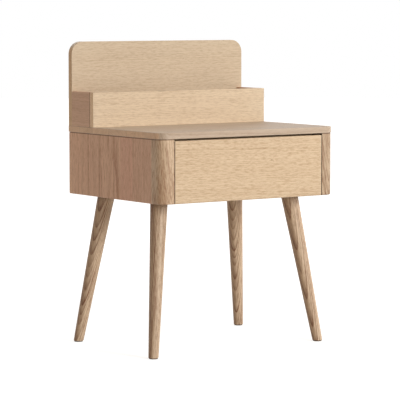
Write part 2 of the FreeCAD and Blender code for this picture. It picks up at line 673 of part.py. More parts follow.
# ---------------------------------------------------------------- dowelled joints of the body
# Each joint: the piece that holds the dowel's other end, and the dowels' places on the left.
side_level = f"-{SIDE_INNER}"
side_joints = (
    (stretcher, [(f"{POST_REAR} + stretcher_depth * {share}", f"{BODY_TOP} - stretcher_thickness / 2")
                 for share in (0.25, 0.75)]),
    (base_panel, [(f"{POST_REAR} + ({BACK_FRONT} - {POST_REAR}) * {share}",
                   f"{BASE_UNDER} + base_thickness / 2") for share in (0.12, 0.5, 0.88)]),
    (carcass_back, [(f"{BACK_FRONT} + back_thickness / 2",
                     f"{BASE_TOP} + ({BODY_TOP} - {BASE_TOP}) * {share}") for share in (0.25, 0.75)]),
)
carcass_dowels = []
for piece, places in side_joints:
    spots = [(side_level, along, up) for along, up in places]
    dowel_holes(left_side, piece, "-x", side_level, spots, "dowel_in_side")
    bore(piece, "-x", SIDE_INNER, spots, "dowel_diameter + 2 * hole_clearance",
         "dowel_length - dowel_in_side + dowel_end_gap")
    carcass_dowels += both_sides(spots, lambda spot, way: dowel(spot, way, "dowel_in_side"), "-x")

post_spots = [(f"-{SIDE_INNER} - side_thickness / 2", POST_REAR, f"floor_gap + body_height * {share}")
              for share in (0.3, 0.7)]
dowel_holes(left_post, left_side, "-y", POST_REAR, post_spots, "dowel_in_side")
carcass_dowels += both_sides(post_spots, lambda spot, way: dowel(spot, way, "dowel_in_side"), "-y")
group("carcass_dowels", carcass_dowels)

# ---------------------------------------------------------------- screws up into the top
top_screws = []
for piece, under, thickness, spots in (
    (stretcher, f"{BODY_TOP} - stretcher_thickness", "stretcher_thickness",
     [(f"{sign} * width / 4", f"{POST_REAR} + stretcher_depth / 2") for sign in (-1, 1)]),
    (left_cleat, f"{BODY_TOP} - cleat_size", "cleat_size",
     [(f"cleat_size / 2 - {SIDE_INNER}", f"{STRETCHER_REAR} + ({BACK_FRONT} - {STRETCHER_REAR}) * {share}")
      for share in (0.2, 0.8)]),
):
    spots = [(x, y, under) for x, y in spots]
    bore_countersunk(piece, "+z", under, spots, thickness)
    if piece is left_cleat:
        spots += [opposite(spot) for spot in spots]
    bore(top_panel, "+z", BODY_TOP, spots, "screw_diameter + 2 * hole_clearance",
         "top_bite + screw_end_gap")
    top_screws += [countersunk_screw(spot, "+z", f"{thickness} + top_bite") for spot in spots]
group("top_fixing_screws", top_screws)

# ---------------------------------------------------------------- fixings of the gallery
gallery_screws = []
along_width = [f"{share} * width" for share in (-0.34, 0, 0.34)]
tray_side_x = f"board_thickness / 2 - {HALF_WIDTH}"
for piece, spots in (
    (back_board, [(x, f"{BOARD_FRONT} + board_thickness / 2") for x in along_width]),
    (tray_front, [(x, f"{TRAY_FACE} + board_thickness / 2") for x in along_width]),
    (tray_left, [(tray_side_x, f"({TRAY_INNER} + {BOARD_FRONT}) / 2")]),
):
    spots = [(x, y, BODY_TOP) for x, y in spots]
    bore(piece, "+z", TOP_LEVEL, spots, "screw_diameter + 2 * hole_clearance",
         "gallery_screw_length - top_thickness + screw_end_gap")
    if piece is tray_left:
        spots += [opposite(spot) for spot in spots]
    bore_countersunk(top_panel, "+z", BODY_TOP, spots, "top_thickness")
    gallery_screws += [countersunk_screw(spot, "+z", "gallery_screw_length") for spot in spots]
group("gallery_screws", gallery_screws)

tray_dowels = []
tray_levels = [f"{TOP_LEVEL} + tray_height * {share}" for share in (0.25, 0.75)]
for piece, level, way in ((tray_front, TRAY_INNER, "-y"), (back_board, BOARD_FRONT, "+y")):
    spots = [(tray_side_x, level, up) for up in tray_levels]
    dowel_holes(piece, tray_left, way, level, spots, "dowel_in_board")
    bore(piece, way, level, [opposite(spot) for spot in spots], "dowel_diameter + 2 * hole_clearance",
         "dowel_in_board + dowel_end_gap")
    tray_dowels += both_sides(spots, lambda spot, turn: dowel(spot, turn, "dowel_in_board"), way)
group("tray_dowels", tray_dowels)

# ---------------------------------------------------------------- fixings of the drawer box
drawer_dowels = []
for end_board, middle in ((box_front, f"{FRONT_BACK} + box_thickness / 2"),
                          (box_back, f"{BOX_REAR} - box_thickness / 2")):
    spots = [(f"-{BOX_INNER}", middle, f"{BOX_LOW} + {BOX_HEIGHT} * {share}") for share in (0.3, 0.75)]
    dowel_holes(drawer_left, end_board, "-x", f"-{BOX_INNER}", spots, "dowel_in_board")
    bore(end_board, "-x", BOX_INNER, spots, "dowel_diameter + 2 * hole_clearance",
         "dowel_length - dowel_in_board + dowel_end_gap")
    drawer_dowels += both_sides(spots, lambda spot, way: dowel(spot, way, "dowel_in_board"), "-x")
group("drawer_dowels", drawer_dowels)

front_spots = [(f"{sign} * {BOX_INNER} * 0.7", BOX_FRONT_BACK, f"{BOX_LOW} + {BOX_HEIGHT} * {share}")
               for sign in (-1, 1) for share in (0.3, 0.75)]
bore_countersunk(box_front, "-y", BOX_FRONT_BACK, front_spots, "box_thickness")
bore(drawer_front, "-y", FRONT_BACK, front_spots, "screw_diameter + 2 * hole_clearance",
     "front_bite + screw_end_gap")
group("drawer_front_screws", [countersunk_screw(spot, "-y", "box_thickness + front_bite")
                              for spot in front_spots])

# ---------------------------------------------------------------- fixings of the slides
BATTEN_DEPTH = f"({POST_SIZE} - side_thickness)"
batten_spots = [(f"-{POST_INNER}", f"{POST_REAR} + {SLIDE_LENGTH} * {share}", SLIDE_MIDDLE)
                for share in (0.2, 0.7)]
bore_countersunk(left_batten, "-x", f"-{POST_INNER}", batten_spots, BATTEN_DEPTH)
bore(left_side, "-x", side_level, batten_spots, "screw_diameter + 2 * hole_clearance",
     "batten_bite + screw_end_gap")
group("batten_screws", both_sides(
    batten_spots, lambda spot, way: countersunk_screw(spot, way, f"{BATTEN_DEPTH} + batten_bite"), "-x"))

# The first screw of each cabinet member goes into the post, the others into the batten.
CABINET_WEB = f"(slide_sheet - {POST_INNER})"
cabinet_spots = [(CABINET_WEB, f"{SLIDE_START} + {SLIDE_LENGTH} * {share}", SLIDE_MIDDLE)
                 for share in (0.04, 0.5, 0.96)]
pilot = "small_screw + 2 * hole_clearance"
bore(cabinet_member, "-x", CABINET_WEB, cabinet_spots, pilot, "slide_sheet")
bore(left_post, "-x", f"-{POST_INNER}", cabinet_spots[:1], pilot, "small_bite + screw_end_gap")
bore(left_batten, "-x", f"-{POST_INNER}", cabinet_spots[1:], pilot, "small_bite + screw_end_gap")
bore(middle_member, "-x", f"{MIDDLE_START} + slide_sheet - {POST_INNER}", cabinet_spots,
     "slide_access", "slide_sheet")
group("slide_cabinet_screws",
      both_sides(cabinet_spots, lambda spot, way: flat_head_screw(spot, way, "small_bite"), "-x"))

DRAWER_WEB = f"(slide_width - slide_sheet - {POST_INNER})"
member_spots = [(DRAWER_WEB, f"{SLIDE_START} + {SLIDE_LENGTH} * {share}", SLIDE_MIDDLE)
                for share in (0.1, 0.5, 0.9)]
bore(drawer_member, "+x", DRAWER_WEB, member_spots, pilot, "slide_sheet")
bore(drawer_left, "+x", f"-{BOX_SIDE}", member_spots, pilot, "small_bite + screw_end_gap")
group("slide_drawer_screws",
      both_sides(member_spots, lambda spot, way: flat_head_screw(spot, way, "small_bite"), "+x"))

# ---------------------------------------------------------------- right-hand twins
for source in (left_side, left_post, left_cleat, left_batten, tray_left, drawer_left,
               cabinet_member, middle_member, drawer_member):
    mirrored(source, source.Label.replace("left", "right"))

# ---------------------------------------------------------------- check and write
doc.recompute()
for thing in doc.Objects:
    if "Invalid" in thing.State or "Error" in thing.State:
        raise RuntimeError(f"{thing.Label} did not compute: {thing.State}")
for node in nodes:
    if node.Shape.isNull() or not node.Shape.isValid():
        raise RuntimeError(f"{node.Label} has no valid shape")

os.makedirs("parts", exist_ok=True)
for node in nodes:
    node.Shape.exportStep(f"parts/{node.Label}.step")
print(f"{len(nodes)} pieces written")
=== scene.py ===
"""Looks of an oak nightstand: eased and turned oak pieces, their timber, the fittings, and the stage."""

import math

import bpy
from bpy.props import FloatProperty, FloatVectorProperty, PointerProperty
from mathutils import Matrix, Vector


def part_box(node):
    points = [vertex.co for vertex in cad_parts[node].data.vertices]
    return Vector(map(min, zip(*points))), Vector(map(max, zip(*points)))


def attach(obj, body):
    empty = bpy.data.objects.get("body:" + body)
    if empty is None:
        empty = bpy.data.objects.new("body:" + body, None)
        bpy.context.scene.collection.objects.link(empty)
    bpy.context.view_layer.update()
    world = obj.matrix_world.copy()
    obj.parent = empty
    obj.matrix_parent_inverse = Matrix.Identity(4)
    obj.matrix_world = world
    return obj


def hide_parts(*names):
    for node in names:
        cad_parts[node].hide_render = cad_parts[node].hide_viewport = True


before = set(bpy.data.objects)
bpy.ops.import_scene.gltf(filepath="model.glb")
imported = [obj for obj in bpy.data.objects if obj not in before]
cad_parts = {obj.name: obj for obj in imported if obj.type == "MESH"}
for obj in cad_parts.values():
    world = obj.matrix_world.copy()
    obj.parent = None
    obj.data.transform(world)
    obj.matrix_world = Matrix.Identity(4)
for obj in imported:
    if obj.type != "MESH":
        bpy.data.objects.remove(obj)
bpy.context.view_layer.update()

bl_info = {
    "name": "Oak Nightstand",
    "version": (1, 0, 0),
    "blender": (4, 5, 0),
    "location": "3D View > Sidebar > Nightstand",
    "description": "Builds the looks of an oak nightstand around its construction model",
    "category": "Object",
}

MM = 0.001
SMOOTH_ANGLE = math.radians(50)
SAME_PLACE = 2e-5
RUBBED_WIDTH = 2.2 * MM
FLOOR_RADIUS = 14
CAMERA_SIDE_SHIFT = -0.0044
SIDES = (("left", -1), ("right", 1))
CORNERS = (("front_left", -1, -1), ("front_right", 1, -1), ("rear_left", -1, 1), ("rear_right", 1, 1))


def shaded(colour, level):
    """A colour times a level."""
    return tuple(level * value for value in colour)


def paint(red, green, blue):
    """A colour given as a paint chart does, 0 to 255, as the linear values that a shader takes."""
    def linear(value):
        value /= 255
        return value / 12.92 if value <= 0.04045 else ((value + 0.055) / 1.055) ** 2.4
    return tuple(linear(value) for value in (red, green, blue))


# ---------------------------------------------------------------- settings

def length(name, description, default):
    return FloatProperty(name=name, description=description, default=default, min=0,
                         unit="LENGTH", subtype="DISTANCE", precision=4)


def colour(name, description, default):
    return FloatVectorProperty(name=name, description=description, default=default, min=0, max=1,
                               size=3, subtype="COLOR")


class NightstandSizes(bpy.types.PropertyGroup):
    """Radii and reliefs of the oak pieces; their overall sizes come from the frame."""
    corner_radius: length("Front corners", "Rounded front corners of the top panel", 25 * MM)
    post_radius: length("Post corners", "Rounded corner of each front post", 24 * MM)
    board_corner: length("Back board corners", "Rounded top corners of the back board", 30 * MM)
    edge_radius: length("Eased edges", "Edges of the top panel and the gallery boards", 1.5 * MM)
    front_edge: length("Drawer front edges", "Edges of the drawer front's face", 1.2 * MM)
    lower_edge: length("Lower edges", "Rounded lower edge of sides, posts and drawer front", 3 * MM)
    arris: length("Arrises", "Sanded arrises elsewhere", 0.6 * MM)
    finger_bevel: length("Finger bevel", "Bevel behind the drawer front's lower edge", 9 * MM)
    shadow_gap: length("Shadow gap", "Height of the shadow gap under the top panel", 0.9 * MM)
    shadow_depth: length("Shadow gap depth", "Depth of the shadow gap under the top panel", 1.5 * MM)
    foot_edge: length("Foot edges", "Rounded edge of each foot", 1.4 * MM)
    leg_top: length("Leg top", "Diameter of a leg at its plate", 41 * MM)
    leg_foot: length("Leg foot", "Diameter of a leg at the floor", 23.4 * MM)
    leg_splay: FloatProperty(name="Leg splay", description="Lean of a leg, seen from the front or the side",
                             default=math.radians(8), unit="ROTATION", subtype="ANGLE")


class NightstandColours(bpy.types.PropertyGroup):
    """Colours of the timber and the fittings."""
    board_light: colour("Drawer front, late wood", "Drawer front between the rings", paint(222, 197, 163))
    board_dark: colour("Drawer front, early wood", "Drawer front in the rings", paint(174, 137, 97))
    gallery_light: colour("Gallery, late wood", "Back board and tray between the rings",
                          paint(226, 204, 173))
    gallery_dark: colour("Gallery, early wood", "Back board and tray in the rings", paint(172, 140, 106))
    top_light: colour("Top, late wood", "Top panel between the rings", paint(198, 178, 155))
    top_dark: colour("Top, early wood", "Top panel in the rings", paint(160, 133, 106))
    side_light: colour("Sides, late wood", "Side staves between the rings", paint(232, 190, 155))
    side_dark: colour("Sides, early wood", "Side staves in the rings", paint(172, 120, 86))
    post_light: colour("Posts, late wood", "Corner posts between the rings", paint(224, 197, 163))
    post_dark: colour("Posts, early wood", "Corner posts in the rings", paint(150, 108, 74))
    leg_light: colour("Legs, late wood", "Legs between the rings", paint(232, 207, 175))
    leg_dark: colour("Legs, early wood", "Legs in the rings", paint(128, 84, 52))
    inner_light: colour("Drawer box, late wood", "Drawer box and carcass between the rings",
                        paint(226, 203, 166))
    inner_dark: colour("Drawer box, early wood", "Drawer box and carcass in the rings",
                       paint(186, 152, 108))
    birch: colour("Birch", "Face of the plywood", paint(222, 202, 164))
    beech: colour("Beech", "Dowels", paint(212, 170, 128))
    zinc: colour("Zinc", "Slides and screws", paint(190, 193, 196))
    powder: colour("Powder coat", "Leg plates", paint(26, 26, 27))
    felt: colour("Felt", "Foot pads", paint(112, 98, 82))


class NightstandStage(bpy.types.PropertyGroup):
    """Camera and lights."""
    azimuth: FloatProperty(name="Azimuth", description="Camera round the object, from the front",
                           default=math.radians(-35.06), unit="ROTATION", subtype="ANGLE")
    elevation: FloatProperty(name="Elevation", description="Camera above the horizon",
                             default=math.radians(5.03), unit="ROTATION", subtype="ANGLE")
    distance: length("Distance", "Camera to the point it looks at", 5.2725)
    look_height: length("Look height", "Height of the point that the camera looks at", 0.3418)
    focal_length: FloatProperty(name="Focal length", description="Camera lens, in millimetres",
                                default=198.91)
    key_level: FloatProperty(name="Key level", description="Light of the key lamp on a face turned to it",
                             default=0.575)
    fill_level: FloatProperty(name="Fill level", description="Light from all round", default=0.43)
    fill_tint: colour("Fill colour", "Warm light that the room gives back", (1.0, 0.9, 0.83))
    rim_level: FloatProperty(name="Rim level", description="Light of the lamp beside the object",
                             default=0.25)
    back_level: FloatProperty(name="Back level", description="Light of the lamp behind", default=0.16)


GROUPS = (("nightstand_sizes", NightstandSizes), ("nightstand_colours", NightstandColours),
          ("nightstand_stage", NightstandStage))


# ---------------------------------------------------------------- modelling by hand

def deselect_all():
    if bpy.context.object and bpy.context.object.mode != "OBJECT":
        bpy.ops.object.mode_set(mode="OBJECT")
    bpy.ops.object.select_all(action="DESELECT")


def blank(name, low, high):
    """A sawn blank between two corners, ready to be shaped."""
    deselect_all()
    bpy.ops.mesh.primitive_cube_add(size=1, location=(low + high) / 2, scale=high - low)
    bpy.ops.object.transform_apply(location=True, rotation=True, scale=True)
    piece = bpy.context.object
    piece.name = piece.data.name = name
    return piece


def pick_edges(piece, wanted):
    """Selects the edges for which wanted(start, end) holds, and returns how many there are."""
    bpy.ops.object.mode_set(mode="EDIT")
    bpy.ops.mesh.select_mode(type="EDGE")
    bpy.ops.mesh.select_all(action="DESELECT")
    bpy.ops.object.mode_set(mode="OBJECT")
    points = [vertex.co for vertex in piece.data.vertices]
    found = [edge for edge in piece.data.edges if wanted(points[edge.vertices[0]],
                                                         points[edge.vertices[1]])]
    for edge in found:
        edge.select = True
    bpy.ops.object.mode_set(mode="EDIT")
    return len(found)


def round_edges(piece, radius, segments, wanted):
    """Rounds the wanted edges, or bevels them flat with one segment."""
    if not pick_edges(piece, wanted):
        raise RuntimeError(f"{piece.name} has no such edge to round")
    bpy.ops.mesh.bevel(offset=radius, offset_type="OFFSET", segments=segments, profile=0.5, affect="EDGES",
                       clamp_overlap=True)
    bpy.ops.object.mode_set(mode="OBJECT")


def raise_step(piece, height, margin):
    """Raises the top face, inside a margin: the step leaves a shadow gap under what lies on it."""
    top = max(vertex.co.z for vertex in piece.data.vertices)
    bpy.ops.object.mode_set(mode="EDIT")
    bpy.ops.mesh.select_mode(type="FACE")
    bpy.ops.mesh.select_all(action="DESELECT")
    bpy.ops.object.mode_set(mode="OBJECT")
    for face in piece.data.polygons:
        face.select = face.normal.z > 0.99 and abs(face.center.z - top) < SAME_PLACE
    bpy.ops.object.mode_set(mode="EDIT")
    bpy.ops.mesh.inset(thickness=margin)
    bpy.ops.mesh.extrude_region_move(TRANSFORM_OT_translate={"value": (0, 0, height)})
    bpy.ops.object.mode_set(mode="OBJECT")


def along(axis):
    """Wanted test: the edge runs along an axis, 0 to 2."""
    def test(start, end):
        return abs(abs((end - start)[axis]) - (end - start).length) < 1e-6
    return test


def at(axis, level, room=SAME_PLACE):
    """Wanted test: the whole edge lies at a level of an axis."""
    def test(start, end):
        return abs(start[axis] - level) < room and abs(end[axis] - level) < room
    return test


def both(*tests):
    return lambda start, end: all(test(start, end) for test in tests)


def either(*tests):
    return lambda start, end: any(test(start, end) for test in tests)


def outside(test):
    return lambda start, end: not test(start, end)


def finish_piece(piece, body, slot, material, *nodes):
    """Smooths the curved faces, keeps the flat ones flat, and hands the piece over to the frame."""
    deselect_all()
    piece.select_set(True)
    bpy.context.view_layer.objects.active = piece
    bpy.ops.object.shade_smooth_by_angle(angle=SMOOTH_ANGLE)
    bpy.ops.object.modifier_add(type="WEIGHTED_NORMAL")
    piece.modifiers[-1].keep_sharp = True
    bpy.ops.object.modifier_apply(modifier=piece.modifiers[-1].name)
    piece.data.materials.clear()
    piece.data.materials.append(material)
    piece.select_set(False)
    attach(piece, body)
    if nodes:
        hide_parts(*nodes)
    return piece


def finish_node(name, material):
    """Gives a piece of the frame its material."""
    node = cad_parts[name]
    node.data.materials.clear()
    node.data.materials.append(material)


# ---------------------------------------------------------------- wiring of materials

class Wiring:
    """The nodes of one material, added and joined in reading order."""

    def __init__(self, name):
        self.material = bpy.data.materials.new(name)
        self.material.use_nodes = True
        self.tree = self.material.node_tree
        self.tree.nodes.clear()
        self.count = 0
        self.shader = self.add("ShaderNodeBsdfPrincipled")
        self.join(self.shader.outputs["BSDF"], self.add("ShaderNodeOutputMaterial").inputs["Surface"])
        self.place = self.add("ShaderNodeTexCoord").outputs["Object"]

    def add(self, kind, **settings):
        node = self.tree.nodes.new(kind)
        node.location = (200 * (self.count % 14), -300 * (self.count // 14))
        self.count += 1
        for setting, value in settings.items():
            setattr(node, setting, value)
        return node

    def join(self, value, socket):
        """Links an output to a socket, or sets the socket to a plain value."""
        if isinstance(value, bpy.types.NodeSocket):
            self.tree.links.new(value, socket)
        else:
            socket.default_value = value

    def normal(self):
        """The surface's own direction."""
        return self.add("ShaderNodeTexCoord").outputs["Normal"]

    def math(self, operation, first, second=0.0, third=0.0, clamp=False):
        node = self.add("ShaderNodeMath", operation=operation, use_clamp=clamp)
        for value, socket in zip((first, second, third), node.inputs):
            self.join(value, socket)
        return node.outputs["Value"]

    def vector(self, operation, first, second=(0, 0, 0)):
        node = self.add("ShaderNodeVectorMath", operation=operation)
        self.join(first, node.inputs[0])
        self.join(second, node.inputs[1])
        return node.outputs["Value" if operation in ("LENGTH", "DOT_PRODUCT", "DISTANCE") else "Vector"]

    def scaled(self, place, amount):
        node = self.add("ShaderNodeVectorMath", operation="SCALE")
        self.join(place, node.inputs[0])
        self.join(amount, node.inputs["Scale"])
        return node.outputs["Vector"]

    def parts(self, place):
        node = self.add("ShaderNodeSeparateXYZ")
        self.join(place, node.inputs[0])
        return node.outputs

    def mapped(self, place, turn=(0, 0, 0), shift=(0, 0, 0), scale=(1, 1, 1)):
        node = self.add("ShaderNodeMapping", vector_type="POINT")
        self.join(place, node.inputs["Vector"])
        node.inputs["Location"].default_value = shift
        node.inputs["Rotation"].default_value = turn
        node.inputs["Scale"].default_value = scale
        return node.outputs["Vector"]

    def noise(self, place, scale, detail=2.0, roughness=0.5, colour=False):
        node = self.add("ShaderNodeTexNoise", noise_dimensions="3D")
        self.join(place, node.inputs["Vector"])
        node.inputs["Scale"].default_value = scale
        node.inputs["Detail"].default_value = detail
        node.inputs["Roughness"].default_value = roughness
        return node.outputs["Color" if colour else "Fac"]

    def line_noise(self, value, scale, detail=1.0):
        node = self.add("ShaderNodeTexNoise", noise_dimensions="1D")
        self.join(value, node.inputs["W"])
        node.inputs["Scale"].default_value = scale
        node.inputs["Detail"].default_value = detail
        return node.outputs["Fac"]

    def chance(self, value):
        """A number from 0 to 1 that differs for each whole value."""
        node = self.add("ShaderNodeTexWhiteNoise", noise_dimensions="1D")
        self.join(value, node.inputs["W"])
        return node.outputs["Value"]

    def step(self, value, low, high, bottom=0.0, top=1.0):
        """Goes smoothly from bottom to top as the value goes from low to high."""
        node = self.add("ShaderNodeMapRange", interpolation_type="SMOOTHSTEP")
        for number, name in ((low, "From Min"), (high, "From Max"), (bottom, "To Min"), (top, "To Max")):
            node.inputs[name].default_value = number
        self.join(value, node.inputs["Value"])
        return node.outputs["Result"]

    def ramp(self, value, stops, interpolation="EASE"):
        """A colour ramp; a stop is a position and a grey level or a colour."""
        node = self.add("ShaderNodeValToRGB")
        node.color_ramp.interpolation = interpolation
        elements = node.color_ramp.elements
        while len(elements) < len(stops):
            elements.new(1.0)
        for element, (position, level) in zip(elements, stops):
            element.position = position
            rgb = level if isinstance(level, tuple) else (level,) * 3
            element.color = (*rgb, 1)
        self.join(value, node.inputs["Fac"])
        return node.outputs["Color"]

    def mix(self, amount, first, second, blend="MIX"):
        node = self.add("ShaderNodeMix", data_type="RGBA", blend_type=blend)
        self.join(amount, node.inputs["Factor"])
        for value, name in ((first, "A"), (second, "B")):
            socket = [s for s in node.inputs if s.name == name and s.type == "RGBA"][0]
            self.join((*value, 1) if isinstance(value, tuple) and len(value) == 3 else value, socket)
        return [s for s in node.outputs if s.type == "RGBA"][0]

    def times(self, first, second):
        return self.math("MULTIPLY", first, second)

    def plus(self, first, second):
        return self.math("ADD", first, second)

    def facing(self, way):
        """1 where the surface looks a way, 0 across it, -1 on the far side."""
        return self.vector("DOT_PRODUCT", self.normal(), way)

    def dyed(self, tint, amount, dye):
        """Multiplies a tint by a dye, as far as the amount goes."""
        return self.mix(amount, tint, self.mix(1.0, tint, dye, "MULTIPLY"))

    def finish(self, colour, roughness, height, depth, strength=1.0):
        """Joins colour, roughness and relief to the shader; depth is in metres."""
        self.join(colour, self.shader.inputs["Base Color"])
        self.join(roughness, self.shader.inputs["Roughness"])
        bump = self.add("ShaderNodeBump")
        bump.inputs["Strength"].default_value = strength
        bump.inputs["Distance"].default_value = depth
        self.join(height, bump.inputs["Height"])
        self.join(bump.outputs["Normal"], self.shader.inputs["Normal"])
        return self.material

    def edges(self, low, high, width):
        """1 on the arrises of a box, fading to 0 over a width: the second nearest pair of faces counts."""
        inward = []
        for axis, part in enumerate(self.parts(self.place)[:3]):
            from_middle = self.math("ABSOLUTE", self.math("SUBTRACT", part, (low[axis] + high[axis]) / 2))
            inward.append(self.math("SUBTRACT", (high[axis] - low[axis]) / 2, from_middle))
        first, second, third = inward
        nearer = self.math("MINIMUM", first, second)
        further = self.math("MAXIMUM", first, second)
        middle = self.math("MAXIMUM", nearer, self.math("MINIMUM", further, third))
        return self.step(middle, 0.0, width, 1.0, 0.0)


# ---------------------------------------------------------------- timber

class Cut:
    """How a piece was cut from its log: where the log's heart lies from the middle of the piece, the way
    that the heart runs, the width of a ring, and how far and how often the rings stray, in millimetres."""

    def __init__(self, heart, way, ring=3.4, wander=7.0, sway=5.0):
        self.heart = Vector(heart) * MM
        self.grain = Vector(way).normalized()
        self.turn = self.grain.rotation_difference(Vector((0, 0, 1))).to_matrix()
        self.ring = ring * MM
        self.wander = wander * MM
        self.sway = sway


def oak(name, cut, light, dark, box, lines=0.5, dashes=0.5, tone=0.5, streaks=0.0, staves=None, knot=None,
        worn=True, end_grain=0.55, end_tint=(0.8, 0.74, 0.68), inner=(), shade_band=None,
        shaded_side=None, blush=(1.0, 0.9, 0.84), roughness=0.5):
    """Oiled oak: growth rings about the heart, pores in the early wood, rays, and slow changes of tone.

    box is the piece's lowest and highest corner. lines, dashes, tone and streaks are the strengths of the
    rings, the rays, the slow changes and the long streaks. staves is an axis and the staves across it, knot
    a place and its half sizes. worn says that the arrises are rubbed, end_grain how far the ends take
    end_tint. inner gives the ways that faces in a gap look; they get painted shade, darkened nearly to
    black for the shade in the gap. shade_band is an axis, where a band of painted shade starts and ends on
    it, and its strength. shaded_side is the way that a round piece's side with painted shade faces: that
    side is darker, as if the light fell from the other side.
    """
    w = Wiring(name)
    low, high = box
    shift = -(cut.turn @ ((low + high) / 2 + cut.heart))
    place = w.mapped(w.place, tuple(cut.turn.to_euler("XYZ")), tuple(shift))
    stave_tint = None
    if staves:
        axis, stops = staves
        share = w.step(w.parts(w.place)[axis], low[axis], high[axis])
        share.node.interpolation_type = "LINEAR"
        stave_tint = w.ramp(share, [(position, tint) for position, tint, figure in stops], "CONSTANT")
        figured = w.ramp(share, [(position, figure) for position, tint, figure in stops], "CONSTANT")
        hair = 0.7 * MM / (high[axis] - low[axis])
        joint_stops = [(0.0, 0.0)]
        for position, tint, figure in stops[1:]:
            joint_stops += [(position - hair, 0.0), (position, 1.0), (position + hair, 0.0)]
        joints = w.ramp(share, joint_stops, "LINEAR")
        pick = w.vector("SUBTRACT", stave_tint, (0.5, 0.5, 0.5))
        place = w.vector("ADD", place, w.vector("MULTIPLY", pick, (0.9, 0.7, 3.1)))

    # The rings stray slowly along the log, and a little over short runs.
    along_grain = w.mapped(place, scale=(1, 1, 0.22))
    stray = w.scaled(w.vector("SUBTRACT", w.noise(along_grain, cut.sway, 2, colour=True), (0.5, 0.5, 0.5)),
                     2 * cut.wander)
    ripple = w.scaled(w.vector("SUBTRACT", w.noise(along_grain, 70, 2, colour=True), (0.5, 0.5, 0.5)),
                      0.35 * cut.ring)
    ringed = w.vector("ADD", w.vector("ADD", place, stray), ripple)
    if knot:
        spot, reach = knot
        gap = w.vector("LENGTH", w.vector("DIVIDE", w.vector("SUBTRACT", w.place, spot), reach))
        swell = w.step(gap, 0.0, 6.0, 1.0, 0.0)
        ringed = w.vector("ADD", ringed, w.scaled((0.7, 0.7, 0.0), w.times(swell, 2.2 * reach[2])))
    radius = w.vector("LENGTH", w.vector("MULTIPLY", ringed, (1, 1, 0)))
    uneven = w.times(w.line_noise(radius, 60, 2), 2.6)
    turns = w.plus(w.math("DIVIDE", radius, cut.ring), uneven)
    share_of_ring = w.math("FRACT", turns)
    year = w.chance(w.math("FLOOR", turns))
    early = w.ramp(share_of_ring,
                   ((0.0, 0.45), (0.05, 1.0), (0.2, 0.72), (0.45, 0.24), (0.8, 0.0), (0.96, 0.08),
                                   (1.0, 0.45)), "LINEAR")
    early = w.times(early, w.math("MULTIPLY_ADD", year, 0.8, 0.2))

    # Fine features run along the grain: fibres, rays and pores.
    fibres = w.noise(w.mapped(place, scale=(1, 1, 0.022)), 620, 4, 0.62)
    fibres = w.step(fibres, 0.34, 0.66)
    flecks = w.noise(w.mapped(ringed, scale=(1, 1, 0.13)), 480, 3, 0.7)
    dash = w.step(flecks, 0.44, 0.64)
    pore_field = w.noise(w.mapped(place, scale=(1, 1, 0.03)), 2100, 2, 0.5)
    pores = w.times(w.step(pore_field, 0.56, 0.66), w.math("MULTIPLY_ADD", early, 0.8, 0.2))
    slow = w.noise(w.mapped(place, scale=(1, 1, 0.16)), 16, 3, 0.55)
    slow = w.step(slow, 0.3, 0.7)
    drift = w.step(w.noise(w.mapped(place, shift=(3.1, 0, 0), scale=(1, 1, 0.3)), 7, 2), 0.35, 0.65)

    # Colour.
    depth = w.times(early, lines)
    depth = w.plus(depth, w.times(fibres, 0.09 * dashes))
    depth = w.plus(depth, w.times(dash, 0.4 * dashes))
    if streaks:
        bands = w.step(w.noise(w.mapped(ringed, scale=(1, 1, 0.05)), 130, 3, 0.6), 0.42, 0.66)
        if staves:
            bands = w.times(bands, figured)
        depth = w.plus(depth, w.times(bands, streaks))
    depth = w.math("ADD", depth, w.times(slow, 0.3 * tone), clamp=True)
    tint = w.mix(depth, light, dark)
    tint = w.dyed(tint, w.times(drift, 0.5 * tone), blush)
    tint = w.dyed(tint, w.times(pores, 0.5), (0.42, 0.33, 0.25))
    if stave_tint:
        mild = w.mix(1.0, w.mix(1.0, stave_tint, (0.36, 0.36, 0.36), "MULTIPLY"), (0.82, 0.82, 0.82), "ADD")
        tint = w.mix(1.0, tint, mild, "MULTIPLY")
        tint = w.dyed(tint, w.times(joints, 0.35), (0.5, 0.4, 0.32))
    if knot:
        core = w.step(w.plus(gap, w.times(flecks, 0.6)), 0.6, 1.6, 1.0, 0.0)
        tint = w.mix(w.times(core, 0.6), tint, shaded(dark, 0.45))

    # Ends across the grain take end_tint: darker by default, as they soak up more oil, and paler where
    # end_tint is above 1; arrises are rubbed paler.
    facing = w.math("ABSOLUTE", w.facing(tuple(cut.grain)))
    end = w.step(facing, 0.75, 0.95)
    tint = w.dyed(tint, w.times(end, end_grain), end_tint)
    rough = w.math("MULTIPLY_ADD", early, 0.1, roughness)
    rough = w.plus(rough, w.times(end, 0.12))
    if worn:
        patchy = w.step(w.noise(w.place, 45, 3), 0.35, 0.65, 0.35, 1.0)
        rubbed = w.times(w.edges(low, high, RUBBED_WIDTH), patchy)
        tint = w.mix(w.times(rubbed, 0.32), tint, w.mix(0.6, tint, tuple(min(1, 1.12 * v) for v in light)))
        rough = w.math("SUBTRACT", rough, w.times(rubbed, 0.1))
    # Painted shade: faces that look the given ways, into a gap, are darkened nearly to black, standing in
    # for the shade in the gap.
    for way in inner:
        faces = w.math("GREATER_THAN", w.facing(way), 0.8)
        tint = w.dyed(tint, w.times(faces, 0.9), (0.08, 0.05, 0.035))
    # Painted shade: a dark band between two levels of an axis, standing in for the shade in a joint or
    # under the body.
    if shade_band:
        axis, first, last, strength = shade_band
        line = w.step(w.parts(w.place)[axis], first, last)
        tint = w.dyed(tint, w.times(line, strength), (0.34, 0.24, 0.17))
